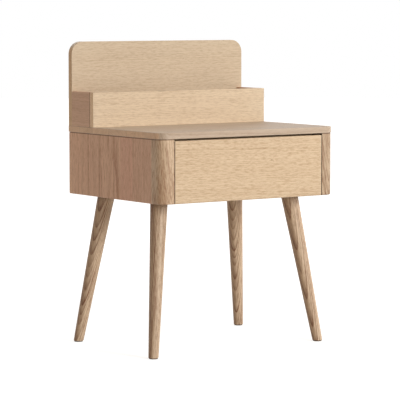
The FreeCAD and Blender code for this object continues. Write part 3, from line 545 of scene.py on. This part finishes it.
    # Painted shade: the side of a round piece that is turned the given way is darkened, as if the light
    # fell from the other side.
    if shaded_side:
        turned = w.step(w.facing(shaded_side), 0.3, 0.85)
        tint = w.dyed(tint, turned, (0.66, 0.58, 0.5))
    height = w.math("SUBTRACT", w.times(fibres, 0.25), w.times(pores, 1.0))
    height = w.math("SUBTRACT", height, w.times(early, 0.2))
    return w.finish(tint, rough, height, 0.25 * MM, 0.55)


def plywood(name, colour):
    """Birch plywood: a calm, faintly flamed face, and its plies at the edge."""
    w = Wiring(name)
    face = w.noise(w.mapped(w.place, scale=(0.12, 1, 1)), 42, 4, 0.6)
    flame = w.noise(w.mapped(w.place, scale=(0.35, 1, 1)), 11, 2)
    fibres = w.noise(w.mapped(w.place, scale=(0.03, 1, 1)), 700, 3, 0.6)
    tint = w.mix(w.step(face, 0.3, 0.75), colour, shaded(colour, 0.8))
    tint = w.dyed(tint, w.times(w.step(flame, 0.4, 0.7), 0.4), (1.0, 0.92, 0.82))
    tint = w.dyed(tint, w.times(w.step(fibres, 0.5, 0.7), 0.18), (0.6, 0.5, 0.4))
    height_in = w.parts(w.place)[2]
    plies = w.math("PINGPONG", w.plus(height_in, 0.2 * MM), 1.0 * MM)
    upright = w.step(w.math("ABSOLUTE", w.parts(w.normal())[2]), 0.3, 0.7, 1.0, 0.0)
    dark_ply = w.times(w.step(plies, 0.35 * MM, 0.6 * MM), w.times(upright, 0.6))
    tint = w.dyed(tint, dark_ply, (0.6, 0.46, 0.34))
    return w.finish(tint, w.step(face, 0.3, 0.7, 0.5, 0.62), fibres, 0.12 * MM, 0.4)


def fluted_beech(name, colour):
    """Beech dowels: short brown ray flecks on a pinkish ground."""
    w = Wiring(name)
    flecks = w.noise(w.mapped(w.place, scale=(0.25, 1, 1)), 1500, 2)
    slow = w.noise(w.place, 60, 2)
    tint = w.mix(w.step(slow, 0.35, 0.65), colour, shaded(colour, 0.86))
    tint = w.mix(w.times(w.step(flecks, 0.56, 0.66), 0.6), tint, shaded(colour, 0.5))
    return w.finish(tint, w.step(slow, 0.3, 0.7, 0.6, 0.72), flecks, 0.15 * MM, 0.5)


def rolled_zinc(name, colour, way, bright=0.32):
    """Zinc-plated steel: rolling marks along the sheet, dull patches and a little yellow passivation."""
    w = Wiring(name)
    marks = w.noise(w.mapped(w.place, scale=way), 1300, 3, 0.6)
    patches = w.noise(w.place, 38, 4, 0.6)
    yellow = w.noise(w.mapped(w.place, shift=(4, 2, 1)), 14, 3)
    tint = w.mix(w.step(patches, 0.35, 0.7), colour, shaded(colour, 0.74))
    tint = w.dyed(tint, w.times(w.step(yellow, 0.45, 0.7), 0.35), (1.0, 0.93, 0.74))
    tint = w.dyed(tint, w.times(w.step(marks, 0.55, 0.75), 0.25), (0.7, 0.7, 0.72))
    rough = w.plus(w.step(patches, 0.3, 0.75, bright, bright + 0.2), w.times(marks, 0.12))
    w.shader.inputs["Metallic"].default_value = 1.0
    return w.finish(tint, rough, marks, 0.05 * MM, 0.3)


def powder_coat(name, colour):
    """Black powder coat: the fine peel of the coating, fine paler specks, and patches of dust."""
    w = Wiring(name)
    peel = w.noise(w.place, 900, 2, 0.55)
    fine = w.noise(w.place, 3200, 2, 0.5)
    dust = w.noise(w.place, 26, 4, 0.6)
    tint = w.mix(w.step(dust, 0.45, 0.75), colour, tuple(2.2 * value + 0.004 for value in colour))
    tint = w.mix(w.times(w.step(fine, 0.55, 0.7), 0.4), tint, shaded(colour, 1.6))
    height = w.plus(peel, w.times(fine, 0.35))
    return w.finish(tint, w.step(dust, 0.35, 0.7, 0.42, 0.6), height, 0.12 * MM, 0.6)


def wool_felt(name, colour):
    """Pressed wool felt: matted fibres in two directions, and darker towards the lower edge."""
    w = Wiring(name)
    one = w.noise(w.mapped(w.place, turn=(0.3, 0.2, 0.6), scale=(1, 0.15, 1)), 2600, 3, 0.65)
    other = w.noise(w.mapped(w.place, turn=(0.1, -0.4, 2.0), scale=(1, 0.15, 1)), 2300, 3, 0.65)
    mat = w.math("MAXIMUM", one, other)
    slow = w.noise(w.place, 160, 3)
    tint = w.mix(w.step(mat, 0.48, 0.72), shaded(colour, 0.6), colour)
    tint = w.dyed(tint, w.times(w.step(slow, 0.4, 0.7), 0.4), (0.78, 0.74, 0.7))
    low = w.step(w.parts(w.place)[2], 0.0, 0.9 * MM, 0.55, 0.0)
    tint = w.mix(low, tint, shaded(colour, 0.35))
    w.shader.inputs["Sheen Weight"].default_value = 0.25
    return w.finish(tint, w.step(slow, 0.3, 0.7, 0.85, 0.96), mat, 0.3 * MM, 0.8)


# ---------------------------------------------------------------- the pieces

def pair(colours, timber):
    """The late and the early wood of a timber."""
    return tuple(tuple(getattr(colours, f"{timber}_{wood}")) for wood in ("light", "dark"))


def settings():
    scene = bpy.context.scene
    return scene.nightstand_sizes, scene.nightstand_colours


class MadePiece:
    """What the operators below have in common."""
    bl_options = {"REGISTER", "UNDO"}


def shade_under_top(high):
    """Painted shade: a dark band just below the top of a side or post, for the shade in the joint under the
    top panel.
    """
    return 2, high.z - 2.6 * MM, high.z - 1.4 * MM, 0.8


class NIGHTSTAND_OT_top_panel(MadePiece, bpy.types.Operator):
    """Top panel: rounded front corners and eased edges"""
    bl_idname = "nightstand.top_panel"
    bl_label = "Top Panel"

    def execute(self, context):
        sizes, colours = settings()
        low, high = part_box("top_panel")
        piece = blank("oak_top_panel", low, high)
        round_edges(piece, sizes.corner_radius, 20, both(along(2), at(1, low.y)))
        rim = both(either(at(2, low.z), at(2, high.z)), outside(at(1, high.y)))
        round_edges(piece, sizes.edge_radius, 4, rim)
        staves = (1,
                  ((0.0, (0.5, 0.5, 0.52), 0.6), (0.17, (0.56, 0.53, 0.48), 1.0),
                   (0.36, (0.45, 0.44, 0.46), 0.5),
                      (0.55, (0.53, 0.55, 0.55), 0.8), (0.73, (0.44, 0.46, 0.45), 1.0),
                      (0.88, (0.55, 0.51, 0.5), 0.5)))
        timber = oak("oak_top", Cut((0, 20, -75), (1, 0.012, 0.02), ring=3.6, wander=9),
                     *pair(colours, "top"), (low, high), lines=0.42, dashes=0.5, tone=0.5, streaks=0.2,
                     staves=staves, end_grain=1.0, end_tint=(1.5, 1.32, 1.16),
                     roughness=0.46)
        finish_piece(piece, "root", "board_oak", timber, "top_panel")
        return {"FINISHED"}


class NIGHTSTAND_OT_side_panels(MadePiece, bpy.types.Operator):
    """Side panels of upright staves, with a rounded lower edge"""
    bl_idname = "nightstand.side_panels"
    bl_label = "Side Panels"

    # Where each stave starts, from the rear or from the front, its tint, and how strongly it is figured.
    staves = {
        "left": ((0.0, (0.44, 0.44, 0.48), 0.25), (0.22, (0.55, 0.38, 0.44), 0.15),
                 (0.36, (0.54, 0.54, 0.5), 1.0),
                 (0.625, (0.5, 0.5, 0.47), 0.55), (0.84, (0.62, 0.58, 0.53), 0.35)),
        "right": ((0.0, (0.58, 0.5, 0.46), 0.4), (0.2, (0.44, 0.47, 0.5), 0.9),
                  (0.43, (0.56, 0.57, 0.5), 0.3),
                  (0.58, (0.46, 0.41, 0.43), 0.7), (0.8, (0.6, 0.58, 0.56), 0.4)),
    }

    def execute(self, context):
        sizes, colours = settings()
        for side, sign in SIDES:
            low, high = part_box(f"{side}_side_panel")
            outer = low.x if sign < 0 else high.x
            piece = blank(f"oak_{side}_side_panel", low, high - Vector((0, 0, sizes.shadow_gap)))
            round_edges(piece, sizes.lower_edge, 6, both(at(0, outer), at(2, low.z)))
            raise_step(piece, sizes.shadow_gap, sizes.shadow_depth)
            cut = Cut((-sign * 100, 10, -70), (-0.015 * sign, 0.02, 1), ring=3.2, wander=6)
            timber = oak(f"oak_{side}_side", cut, *pair(colours, "side"), (low, high),
                         lines=0.34, dashes=1.0, tone=0.4, streaks=0.5, staves=(1, self.staves[side]),
                         worn=False, shade_band=shade_under_top(high))
            finish_piece(piece, "root", "side_oak", timber, f"{side}_side_panel")
        return {"FINISHED"}


class NIGHTSTAND_OT_corner_posts(MadePiece, bpy.types.Operator):
    """Rounded front posts"""
    bl_idname = "nightstand.corner_posts"
    bl_label = "Corner Posts"

    # Where each log's heart lies from the post, and the way that it runs.
    hearts = {"left": ((58, -30, 0), (-0.1, 0.07, 1)), "right": ((-34, 56, 0), (-0.07, 0.05, 1))}
    # Painted shade: the right post's colours are darkened to 0.8, standing in for the shade on that side.
    painted_post_shades = {"left": 1.0, "right": 0.8}

    def execute(self, context):
        sizes, colours = settings()
        for side, sign in SIDES:
            low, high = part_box(f"{side}_corner_post")
            outer = low.x if sign < 0 else high.x
            inner = high.x if sign < 0 else low.x
            piece = blank(f"oak_{side}_corner_post", low, high - Vector((0, 0, sizes.shadow_gap)))
            round_edges(piece, sizes.post_radius, 20, both(along(2), at(0, outer), at(1, low.y)))
            hidden = either(at(0, inner), at(1, high.y))
            round_edges(piece, sizes.lower_edge, 6, both(at(2, low.z), outside(hidden)))
            round_edges(piece, sizes.arris, 2, both(along(2), at(0, inner), at(1, low.y)))
            raise_step(piece, sizes.shadow_gap, sizes.shadow_depth)
            shade = self.painted_post_shades[side]
            # Painted shade: the post's inner face, which looks into the gap beside the drawer front, is
            # darkened.
            timber = oak(f"oak_{side}_post", Cut(*self.hearts[side], ring=2.6, wander=3.5, sway=14),
                         shaded(colours.post_light, shade), shaded(colours.post_dark, shade), (low, high),
                         lines=0.7,
                         dashes=0.9, tone=0.3, streaks=0.45, worn=False, inner=((-sign, 0, 0),),
                         shade_band=shade_under_top(high))
            finish_piece(piece, "root", "post_oak", timber, f"{side}_corner_post")
        return {"FINISHED"}


class NIGHTSTAND_OT_drawer_front(MadePiece, bpy.types.Operator):
    """Drawer front: eased face and a finger bevel behind its lower edge"""
    bl_idname = "nightstand.drawer_front"
    bl_label = "Drawer Front"

    def execute(self, context):
        sizes, colours = settings()
        low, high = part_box("drawer_front")
        piece = blank("oak_drawer_front", low, high)
        round_edges(piece, sizes.finger_bevel, 1, both(at(1, high.y), at(2, low.z)))
        round_edges(piece, sizes.lower_edge, 6, both(at(1, low.y), at(2, low.z)))
        round_edges(piece, sizes.front_edge, 4, both(at(1, low.y), at(2, high.z)))
        round_edges(piece, sizes.arris, 2, both(at(1, low.y), either(at(0, low.x), at(0, high.x))))
        knot = (Vector((0.0625, low.y, high.z - 0.053)), (2.2 * MM, 4 * MM, 1.4 * MM))
        # Painted shade: the drawer front's end faces, which look into the gaps beside it, are darkened.
        timber = oak("oak_drawer_front", Cut((60, 80, -140), (1, 0.015, -0.012), ring=4.2, wander=9),
                     *pair(colours, "board"), (low, high), lines=0.28, dashes=1.1,
                     tone=0.25, streaks=0.1, knot=knot, inner=((1, 0, 0), (-1, 0, 0)))
        finish_piece(piece, "drawer", "board_oak", timber, "drawer_front")
        return {"FINISHED"}


class NIGHTSTAND_OT_back_board(MadePiece, bpy.types.Operator):
    """Tall back board with rounded top corners"""
    bl_idname = "nightstand.back_board"
    bl_label = "Back Board"

    def execute(self, context):
        sizes, colours = settings()
        low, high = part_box("back_board")
        piece = blank("oak_back_board", low, high)
        round_edges(piece, sizes.board_corner, 18, both(along(1), at(2, high.z)))
        rim = both(either(at(1, low.y), at(1, high.y)), outside(at(2, low.z)))
        round_edges(piece, sizes.edge_radius, 4, rim)
        knot = (Vector((0.072, low.y, high.z - 0.044)), (1.6 * MM, 4 * MM, 1.0 * MM))
        timber = oak("oak_back_board", Cut((0, 80, -220), (1, -0.01, 0.012), ring=4.0, wander=8),
                     shaded(colours.gallery_light, 0.9), shaded(colours.gallery_dark, 0.92), (low, high),
                     end_grain=1.0, end_tint=(1.14, 1.0, 0.86), lines=0.2, dashes=0.75,
                     tone=0.3, streaks=0.06, knot=knot)
        finish_piece(piece, "root", "board_oak", timber, "back_board")
        return {"FINISHED"}


class NIGHTSTAND_OT_tray(MadePiece, bpy.types.Operator):
    """Tray boards in front of the back board"""
    bl_idname = "nightstand.tray"
    bl_label = "Tray"

    def execute(self, context):
        sizes, colours = settings()
        low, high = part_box("tray_front")
        piece = blank("oak_tray_front", low, high)
        round_edges(piece, sizes.edge_radius, 4, both(at(1, low.y), outside(at(2, low.z))))
        round_edges(piece, sizes.arris, 2, both(at(1, high.y), outside(at(2, low.z))))
        knot = (Vector((-0.055, low.y, high.z - 0.5 * MM)), (14 * MM, 3 * MM, 1.0 * MM))
        timber = oak("oak_tray_front", Cut((0, 75, -140), (1, 0.01, 0.01), ring=4.2, wander=8),
                     *pair(colours, "gallery"), (low, high), end_grain=1.0, end_tint=(1.3, 1.2, 1.1),
                     lines=0.22, dashes=0.8,
                     tone=0.3, streaks=0.08, knot=knot)
        finish_piece(piece, "root", "board_oak", timber, "tray_front")
        for side, sign in SIDES:
            low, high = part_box(f"tray_{side}_side")
            piece = blank(f"oak_tray_{side}_side", low, high)
            outer = low.x if sign < 0 else high.x
            round_edges(piece, sizes.arris, 2, both(along(1), at(2, high.z)))
            round_edges(piece, sizes.arris, 2,
                        both(at(0, outer), outside(at(2, high.z)), outside(at(2, high.z - sizes.arris))))
            # Painted shade: the tray sides take the side colours darkened to 0.9 for the shade between the
            # boards, and a band of painted shade along their front end, in the joint with the tray front.
            timber = oak(f"oak_tray_{side}",
                         Cut((-sign * 65, -40, -90), (0.01 * sign, 1, 0.015), ring=4.0, wander=5),
                         shaded(colours.side_light, 0.9), shaded(colours.side_dark, 0.9), (low, high),
                         lines=0.24,
                         dashes=0.5, tone=0.35, streaks=0.1,
                         shade_band=(1, low.y + 2.2 * MM, low.y + 1.2 * MM, 1.0))
            finish_piece(piece, "root", "board_oak", timber, f"tray_{side}_side")
        return {"FINISHED"}


class NIGHTSTAND_OT_legs(MadePiece, bpy.types.Operator):
    """Splayed turned legs, trimmed level at both ends"""
    bl_idname = "nightstand.legs"
    bl_label = "Legs"

    # Where each log's heart lies from the leg, and how fast it draws away towards the top.
    hearts = {
        "front_left": ((60, -42, 0), 0.02), "front_right": ((66, 30, 0), 0.02),
        "rear_left": ((46, 28, 0), 0.055), "rear_right": ((42, 32, 0), 0.07),
    }

    def execute(self, context):
        sizes, colours = settings()
        for name, side, end in CORNERS:
            low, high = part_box(f"{name}_leg")
            tall = high.z - low.z
            spread = tall * math.tan(sizes.leg_splay)
            plate_low, plate_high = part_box(f"{name}_leg_plate")
            top = Vector(((plate_low.x + plate_high.x) / 2, (plate_low.y + plate_high.y) / 2, high.z))
            foot = Vector((top.x + side * spread, top.y + end * spread, low.z))
            axis = (top - foot).normalized()
            run = (top - foot).length
            taper = (sizes.leg_top - sizes.leg_foot) / 2 / run
            spare = 20 * MM
            deselect_all()
            bpy.ops.mesh.primitive_cone_add(
                vertices=96, radius1=sizes.leg_foot / 2 - spare * taper,
                radius2=sizes.leg_top / 2 + spare * taper,
                depth=run + 2 * spare, location=(top + foot) / 2,
                rotation=axis.to_track_quat("Z", "Y").to_euler())
            bpy.ops.object.transform_apply(location=True, rotation=True, scale=True)
            piece = context.object
            piece.name = piece.data.name = f"oak_{name}_leg"
            bpy.ops.object.mode_set(mode="EDIT")
            for level, way in ((high.z, 1), (low.z, -1)):
                bpy.ops.mesh.select_all(action="SELECT")
                bpy.ops.mesh.bisect(plane_co=(0, 0, level), plane_no=(0, 0, way), use_fill=True,
                                    clear_outer=True)
            bpy.ops.object.mode_set(mode="OBJECT")
            round_edges(piece, sizes.foot_edge, 4, at(2, low.z))
            away, draw = self.hearts[name]
            cut = Cut(away, axis + draw * Vector(away).normalized(), ring=2.7, wander=2.5, sway=10)
            # Painted shade: a dark band just below each leg's top, where the body shades it, and a darker
            # side of the leg turned away from the lamps.
            timber = oak(f"oak_{name}_leg", cut, *pair(colours, "leg"), (low, high),
                         lines=1.0, dashes=0.7, tone=0.4, streaks=0.25, worn=False,
                         shade_band=(2, high.z - 22 * MM, high.z - 6 * MM, 0.7), shaded_side=(-0.95, 0.25, 0))
            finish_piece(piece, "root", "turned_oak", timber, f"{name}_leg")
        return {"FINISHED"}


class NIGHTSTAND_OT_foot_pads(MadePiece, bpy.types.Operator):
    """Felt pads under the feet"""
    bl_idname = "nightstand.foot_pads"
    bl_label = "Foot Pads"

    def execute(self, context):
        sizes, colours = settings()
        felt = wool_felt("wool_felt", tuple(colours.felt))
        for name, side, end in CORNERS:
            low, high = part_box(f"{name}_foot_pad")
            deselect_all()
            bpy.ops.mesh.primitive_cylinder_add(vertices=72, radius=(high.x - low.x) / 2,
                                                depth=high.z - low.z,
                                                location=(low + high) / 2)
            bpy.ops.object.transform_apply(location=True, rotation=True, scale=True)
            piece = context.object
            piece.name = piece.data.name = f"felt_{name}_pad"
            round_edges(piece, 0.5 * MM, 3, either(at(2, low.z), at(2, high.z)))
            finish_piece(piece, "root", "felt", felt, f"{name}_foot_pad")
        return {"FINISHED"}


class NIGHTSTAND_OT_drawer_box(MadePiece, bpy.types.Operator):
    """Boards of the drawer box, with eased upper edges, and its plywood bottom"""
    bl_idname = "nightstand.drawer_box"
    bl_label = "Drawer Box"

    def execute(self, context):
        sizes, colours = settings()
        boards = (("drawer_left_side", 1, (40, 0, -40)), ("drawer_right_side", 1, (-36, 0, -80)),
                  ("drawer_box_front", 0, (0, 70, -80)), ("drawer_back", 0, (0, 60, -40)))
        for name, run, heart in boards:
            low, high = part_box(name)
            piece = blank(f"oak_{name}", low, high)
            round_edges(piece, 1.2 * MM, 3, both(along(run), at(2, high.z)))
            way = (1, 0.01, 0.012) if run == 0 else (0.01, 1, -0.012)
            timber = oak(f"oak_{name}", Cut(heart, way, ring=4.4, wander=6), *pair(colours, "inner"),
                         (low, high), lines=0.35, dashes=0.5, tone=0.4, roughness=0.56)
            finish_piece(piece, "drawer", "drawer_oak", timber, name)
        finish_node("drawer_bottom", plywood("birch_plywood", tuple(colours.birch)))
        return {"FINISHED"}


class NIGHTSTAND_OT_carcass(MadePiece, bpy.types.Operator):
    """Timber of the boards inside and under the body"""
    bl_idname = "nightstand.carcass"
    bl_label = "Carcass"

    def execute(self, context):
        sizes, colours = settings()
        light, dark = pair(colours, "inner")
        runs = {
            "base_panel": ((0, 30, -70), (1, 0.01, 0.01)), "carcass_back": ((0, 90, -50), (1, 0.01, -0.01)),
            "front_stretcher": ((0, 20, -75), (1, 0.0, 0.012)),
            "left_top_cleat": ((50, 0, -35), (0.01, 1, 0.01)),
            "right_top_cleat": ((60, 0, -45), (0.01, 1, 0.0)),
            "left_slide_batten": ((20, 0, -70), (0.01, 1, 0)),
            "right_slide_batten": ((-30, 0, 65), (0.01, 1, 0)),
        }
        for name, (heart, way) in runs.items():
            timber = oak(f"oak_{name}", Cut(heart, way, ring=4.2, wander=7), light, dark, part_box(name),
                         lines=0.45,
                         dashes=0.5, tone=0.6, roughness=0.6)
            finish_node(name, timber)
        return {"FINISHED"}


class NIGHTSTAND_OT_fittings(MadePiece, bpy.types.Operator):
    """Finishes of the slides, plates, bolts, screws and dowels"""
    bl_idname = "nightstand.fittings"
    bl_label = "Fittings"

    def execute(self, context):
        colours = settings()[1]
        along_slide = rolled_zinc("zinc_slides", tuple(colours.zinc), (1, 0.03, 1))
        turned = rolled_zinc("zinc_screws", tuple(colours.zinc), (1, 1, 0.4), bright=0.38)
        black = powder_coat("black_powder", tuple(colours.powder))
        beech = fluted_beech("fluted_beech", tuple(colours.beech))
        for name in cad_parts:
            if "slide" in name and "member" in name:
                finish_node(name, along_slide)
            elif name.endswith("_plate"):
                finish_node(name, black)
            elif "screws" in name or "bolts" in name:
                finish_node(name, turned)
            elif "dowels" in name:
                finish_node(name, beech)
        return {"FINISHED"}


# ---------------------------------------------------------------- the stage

def direction(azimuth, elevation):
    """Unit vector from the object towards a camera or a lamp; azimuth 0 is in front of it."""
    return Vector((math.sin(azimuth) * math.cos(elevation), -math.cos(azimuth) * math.cos(elevation),
                   math.sin(elevation)))


def soft_lamp(name, azimuth, elevation, distance, size, level, tint=(1, 1, 1)):
    """A square soft box; level is its light on a white face that is turned to it."""
    target = Vector((0, 0, 0.4))
    bpy.ops.object.light_add(type="AREA", location=target + distance * direction(azimuth, elevation))
    lamp = bpy.context.object
    lamp.name = lamp.data.name = name
    lamp.rotation_euler = (target - lamp.location).to_track_quat("-Z", "Y").to_euler()
    lamp.data.shape = "SQUARE"
    lamp.data.size = size
    lamp.data.energy = level * (math.pi * distance) ** 2
    lamp.data.color = tint


def seen_directly(tree):
    """1 for rays from the camera, and for those that metal and glass pass on."""
    path = tree.nodes.new("ShaderNodeLightPath")
    total = path.outputs["Is Camera Ray"]
    for name in ("Is Glossy Ray", "Is Transmission Ray"):
        add = tree.nodes.new("ShaderNodeMath")
        add.operation = "MAXIMUM"
        tree.links.new(total, add.inputs[0])
        tree.links.new(path.outputs[name], add.inputs[1])
        total = add.outputs["Value"]
    return total


class NIGHTSTAND_OT_stage(MadePiece, bpy.types.Operator):
    """White floor and surroundings, soft lamps and the camera"""
    bl_idname = "nightstand.stage"
    bl_label = "Stage"

    def execute(self, context):
        stage = context.scene.nightstand_stage
        self.floor()
        self.surroundings(stage.fill_level, tuple(stage.fill_tint))
        soft_lamp("key_lamp", math.radians(14), math.radians(16), 5.0, 1.5, stage.key_level,
                  (0.98, 1.0, 1.0))
        soft_lamp("rim_lamp", math.radians(78), math.radians(20), 4.0, 1.2, stage.rim_level)
        soft_lamp("back_lamp", math.radians(165), math.radians(35), 3.0, 1.6, stage.back_level)
        self.camera(stage)
        context.scene.view_settings.view_transform = "Standard"
        return {"FINISHED"}

    def floor(self):
        deselect_all()
        bpy.ops.mesh.primitive_circle_add(vertices=96, radius=FLOOR_RADIUS, fill_type="NGON",
                                          location=(0, 0, 0))
        floor = bpy.context.object
        floor.name = floor.data.name = "floor"
        material = bpy.data.materials.new("white_floor")
        material.use_nodes = True
        tree = material.node_tree
        tree.nodes.clear()
        add, link = tree.nodes.new, tree.links.new
        matt = add("ShaderNodeBsdfDiffuse")
        matt.inputs["Color"].default_value = (0.6, 0.6, 0.6, 1)
        glow = add("ShaderNodeEmission")
        scale = add("ShaderNodeMath")
        scale.operation = "MULTIPLY"
        place = add("ShaderNodeTexCoord")
        spread = add("ShaderNodeVectorMath")
        spread.operation = "LENGTH"
        glow_level = add("ShaderNodeMapRange")
        for name, value in (("From Min", 0.6), ("From Max", 3.0), ("To Min", 0.7), ("To Max", 0.95)):
            glow_level.inputs[name].default_value = value
        link(place.outputs["Object"], spread.inputs[0])
        link(spread.outputs["Value"], glow_level.inputs["Value"])
        link(glow_level.outputs["Result"], scale.inputs[1])
        both_shaders = add("ShaderNodeAddShader")
        side = add("ShaderNodeNewGeometry")
        clear = add("ShaderNodeBsdfTransparent")
        one_way = add("ShaderNodeMixShader")
        output = add("ShaderNodeOutputMaterial")
        link(seen_directly(tree), scale.inputs[0])
        link(scale.outputs["Value"], glow.inputs["Strength"])
        link(matt.outputs["BSDF"], both_shaders.inputs[0])
        link(glow.outputs["Emission"], both_shaders.inputs[1])
        link(side.outputs["Backfacing"], one_way.inputs["Fac"])
        link(both_shaders.outputs["Shader"], one_way.inputs[1])
        link(clear.outputs["BSDF"], one_way.inputs[2])
        link(one_way.outputs["Shader"], output.inputs["Surface"])
        floor.data.materials.append(material)

    def surroundings(self, level, tint):
        world = bpy.data.worlds.new("studio")
        bpy.context.scene.world = world
        world.use_nodes = True
        tree = world.node_tree
        tree.nodes.clear()
        add, link = tree.nodes.new, tree.links.new
        background = add("ShaderNodeBackground")
        output = add("ShaderNodeOutputWorld")
        strength = add("ShaderNodeMapRange")
        strength.inputs["To Min"].default_value = level
        strength.inputs["To Max"].default_value = 1.0
        white = add("ShaderNodeMix")
        white.data_type = "RGBA"
        seen = seen_directly(tree)
        first, second = [socket for socket in white.inputs if socket.type == "RGBA"]
        first.default_value = (*tint, 1)
        second.default_value = (1, 1, 1, 1)
        link(seen, white.inputs["Factor"])
        link([socket for socket in white.outputs if socket.type == "RGBA"][0], background.inputs["Color"])
        link(seen, strength.inputs["Value"])
        link(strength.outputs["Result"], background.inputs["Strength"])
        link(background.outputs["Background"], output.inputs["Surface"])

    def camera(self, stage):
        target = Vector((CAMERA_SIDE_SHIFT, 0, stage.look_height))
        place = target + stage.distance * direction(stage.azimuth, stage.elevation)
        bpy.ops.object.camera_add(location=place,
                                  rotation=(target - place).to_track_quat("-Z", "Y").to_euler())
        camera = bpy.context.object
        camera.name = camera.data.name = "camera"
        camera.data.lens = stage.focal_length
        camera.data.sensor_width = 36
        camera.data.clip_end = 60
        bpy.context.scene.camera = camera


# ---------------------------------------------------------------- the add-on

OPERATORS = (NIGHTSTAND_OT_top_panel, NIGHTSTAND_OT_side_panels, NIGHTSTAND_OT_corner_posts,
             NIGHTSTAND_OT_drawer_front, NIGHTSTAND_OT_back_board, NIGHTSTAND_OT_tray, NIGHTSTAND_OT_legs,
             NIGHTSTAND_OT_foot_pads, NIGHTSTAND_OT_drawer_box, NIGHTSTAND_OT_carcass,
             NIGHTSTAND_OT_fittings,
             NIGHTSTAND_OT_stage)


class NIGHTSTAND_PT_panel(bpy.types.Panel):
    """Sizes, colours and pieces of the nightstand"""
    bl_label = "Nightstand"
    bl_idname = "NIGHTSTAND_PT_panel"
    bl_space_type = "VIEW_3D"
    bl_region_type = "UI"
    bl_category = "Nightstand"

    def draw(self, context):
        for group_name, group in GROUPS:
            box = self.layout.box()
            values = getattr(context.scene, group_name)
            for setting in group.__annotations__:
                box.prop(values, setting)
        column = self.layout.column(align=True)
        for operator in OPERATORS:
            column.operator(operator.bl_idname)


CLASSES = (*(group for name, group in GROUPS), *OPERATORS, NIGHTSTAND_PT_panel)


def register():
    for each in CLASSES:
        bpy.utils.register_class(each)
    for name, group in GROUPS:
        setattr(bpy.types.Scene, name, PointerProperty(type=group))


def unregister():
    for name, group in GROUPS:
        delattr(bpy.types.Scene, name)
    for each in reversed(CLASSES):
        bpy.utils.unregister_class(each)


def main():
    register()
    for operator in OPERATORS:
        family, name = operator.bl_idname.split(".")
        getattr(getattr(bpy.ops, family), name)()


if __name__ == "__main__":
    main()
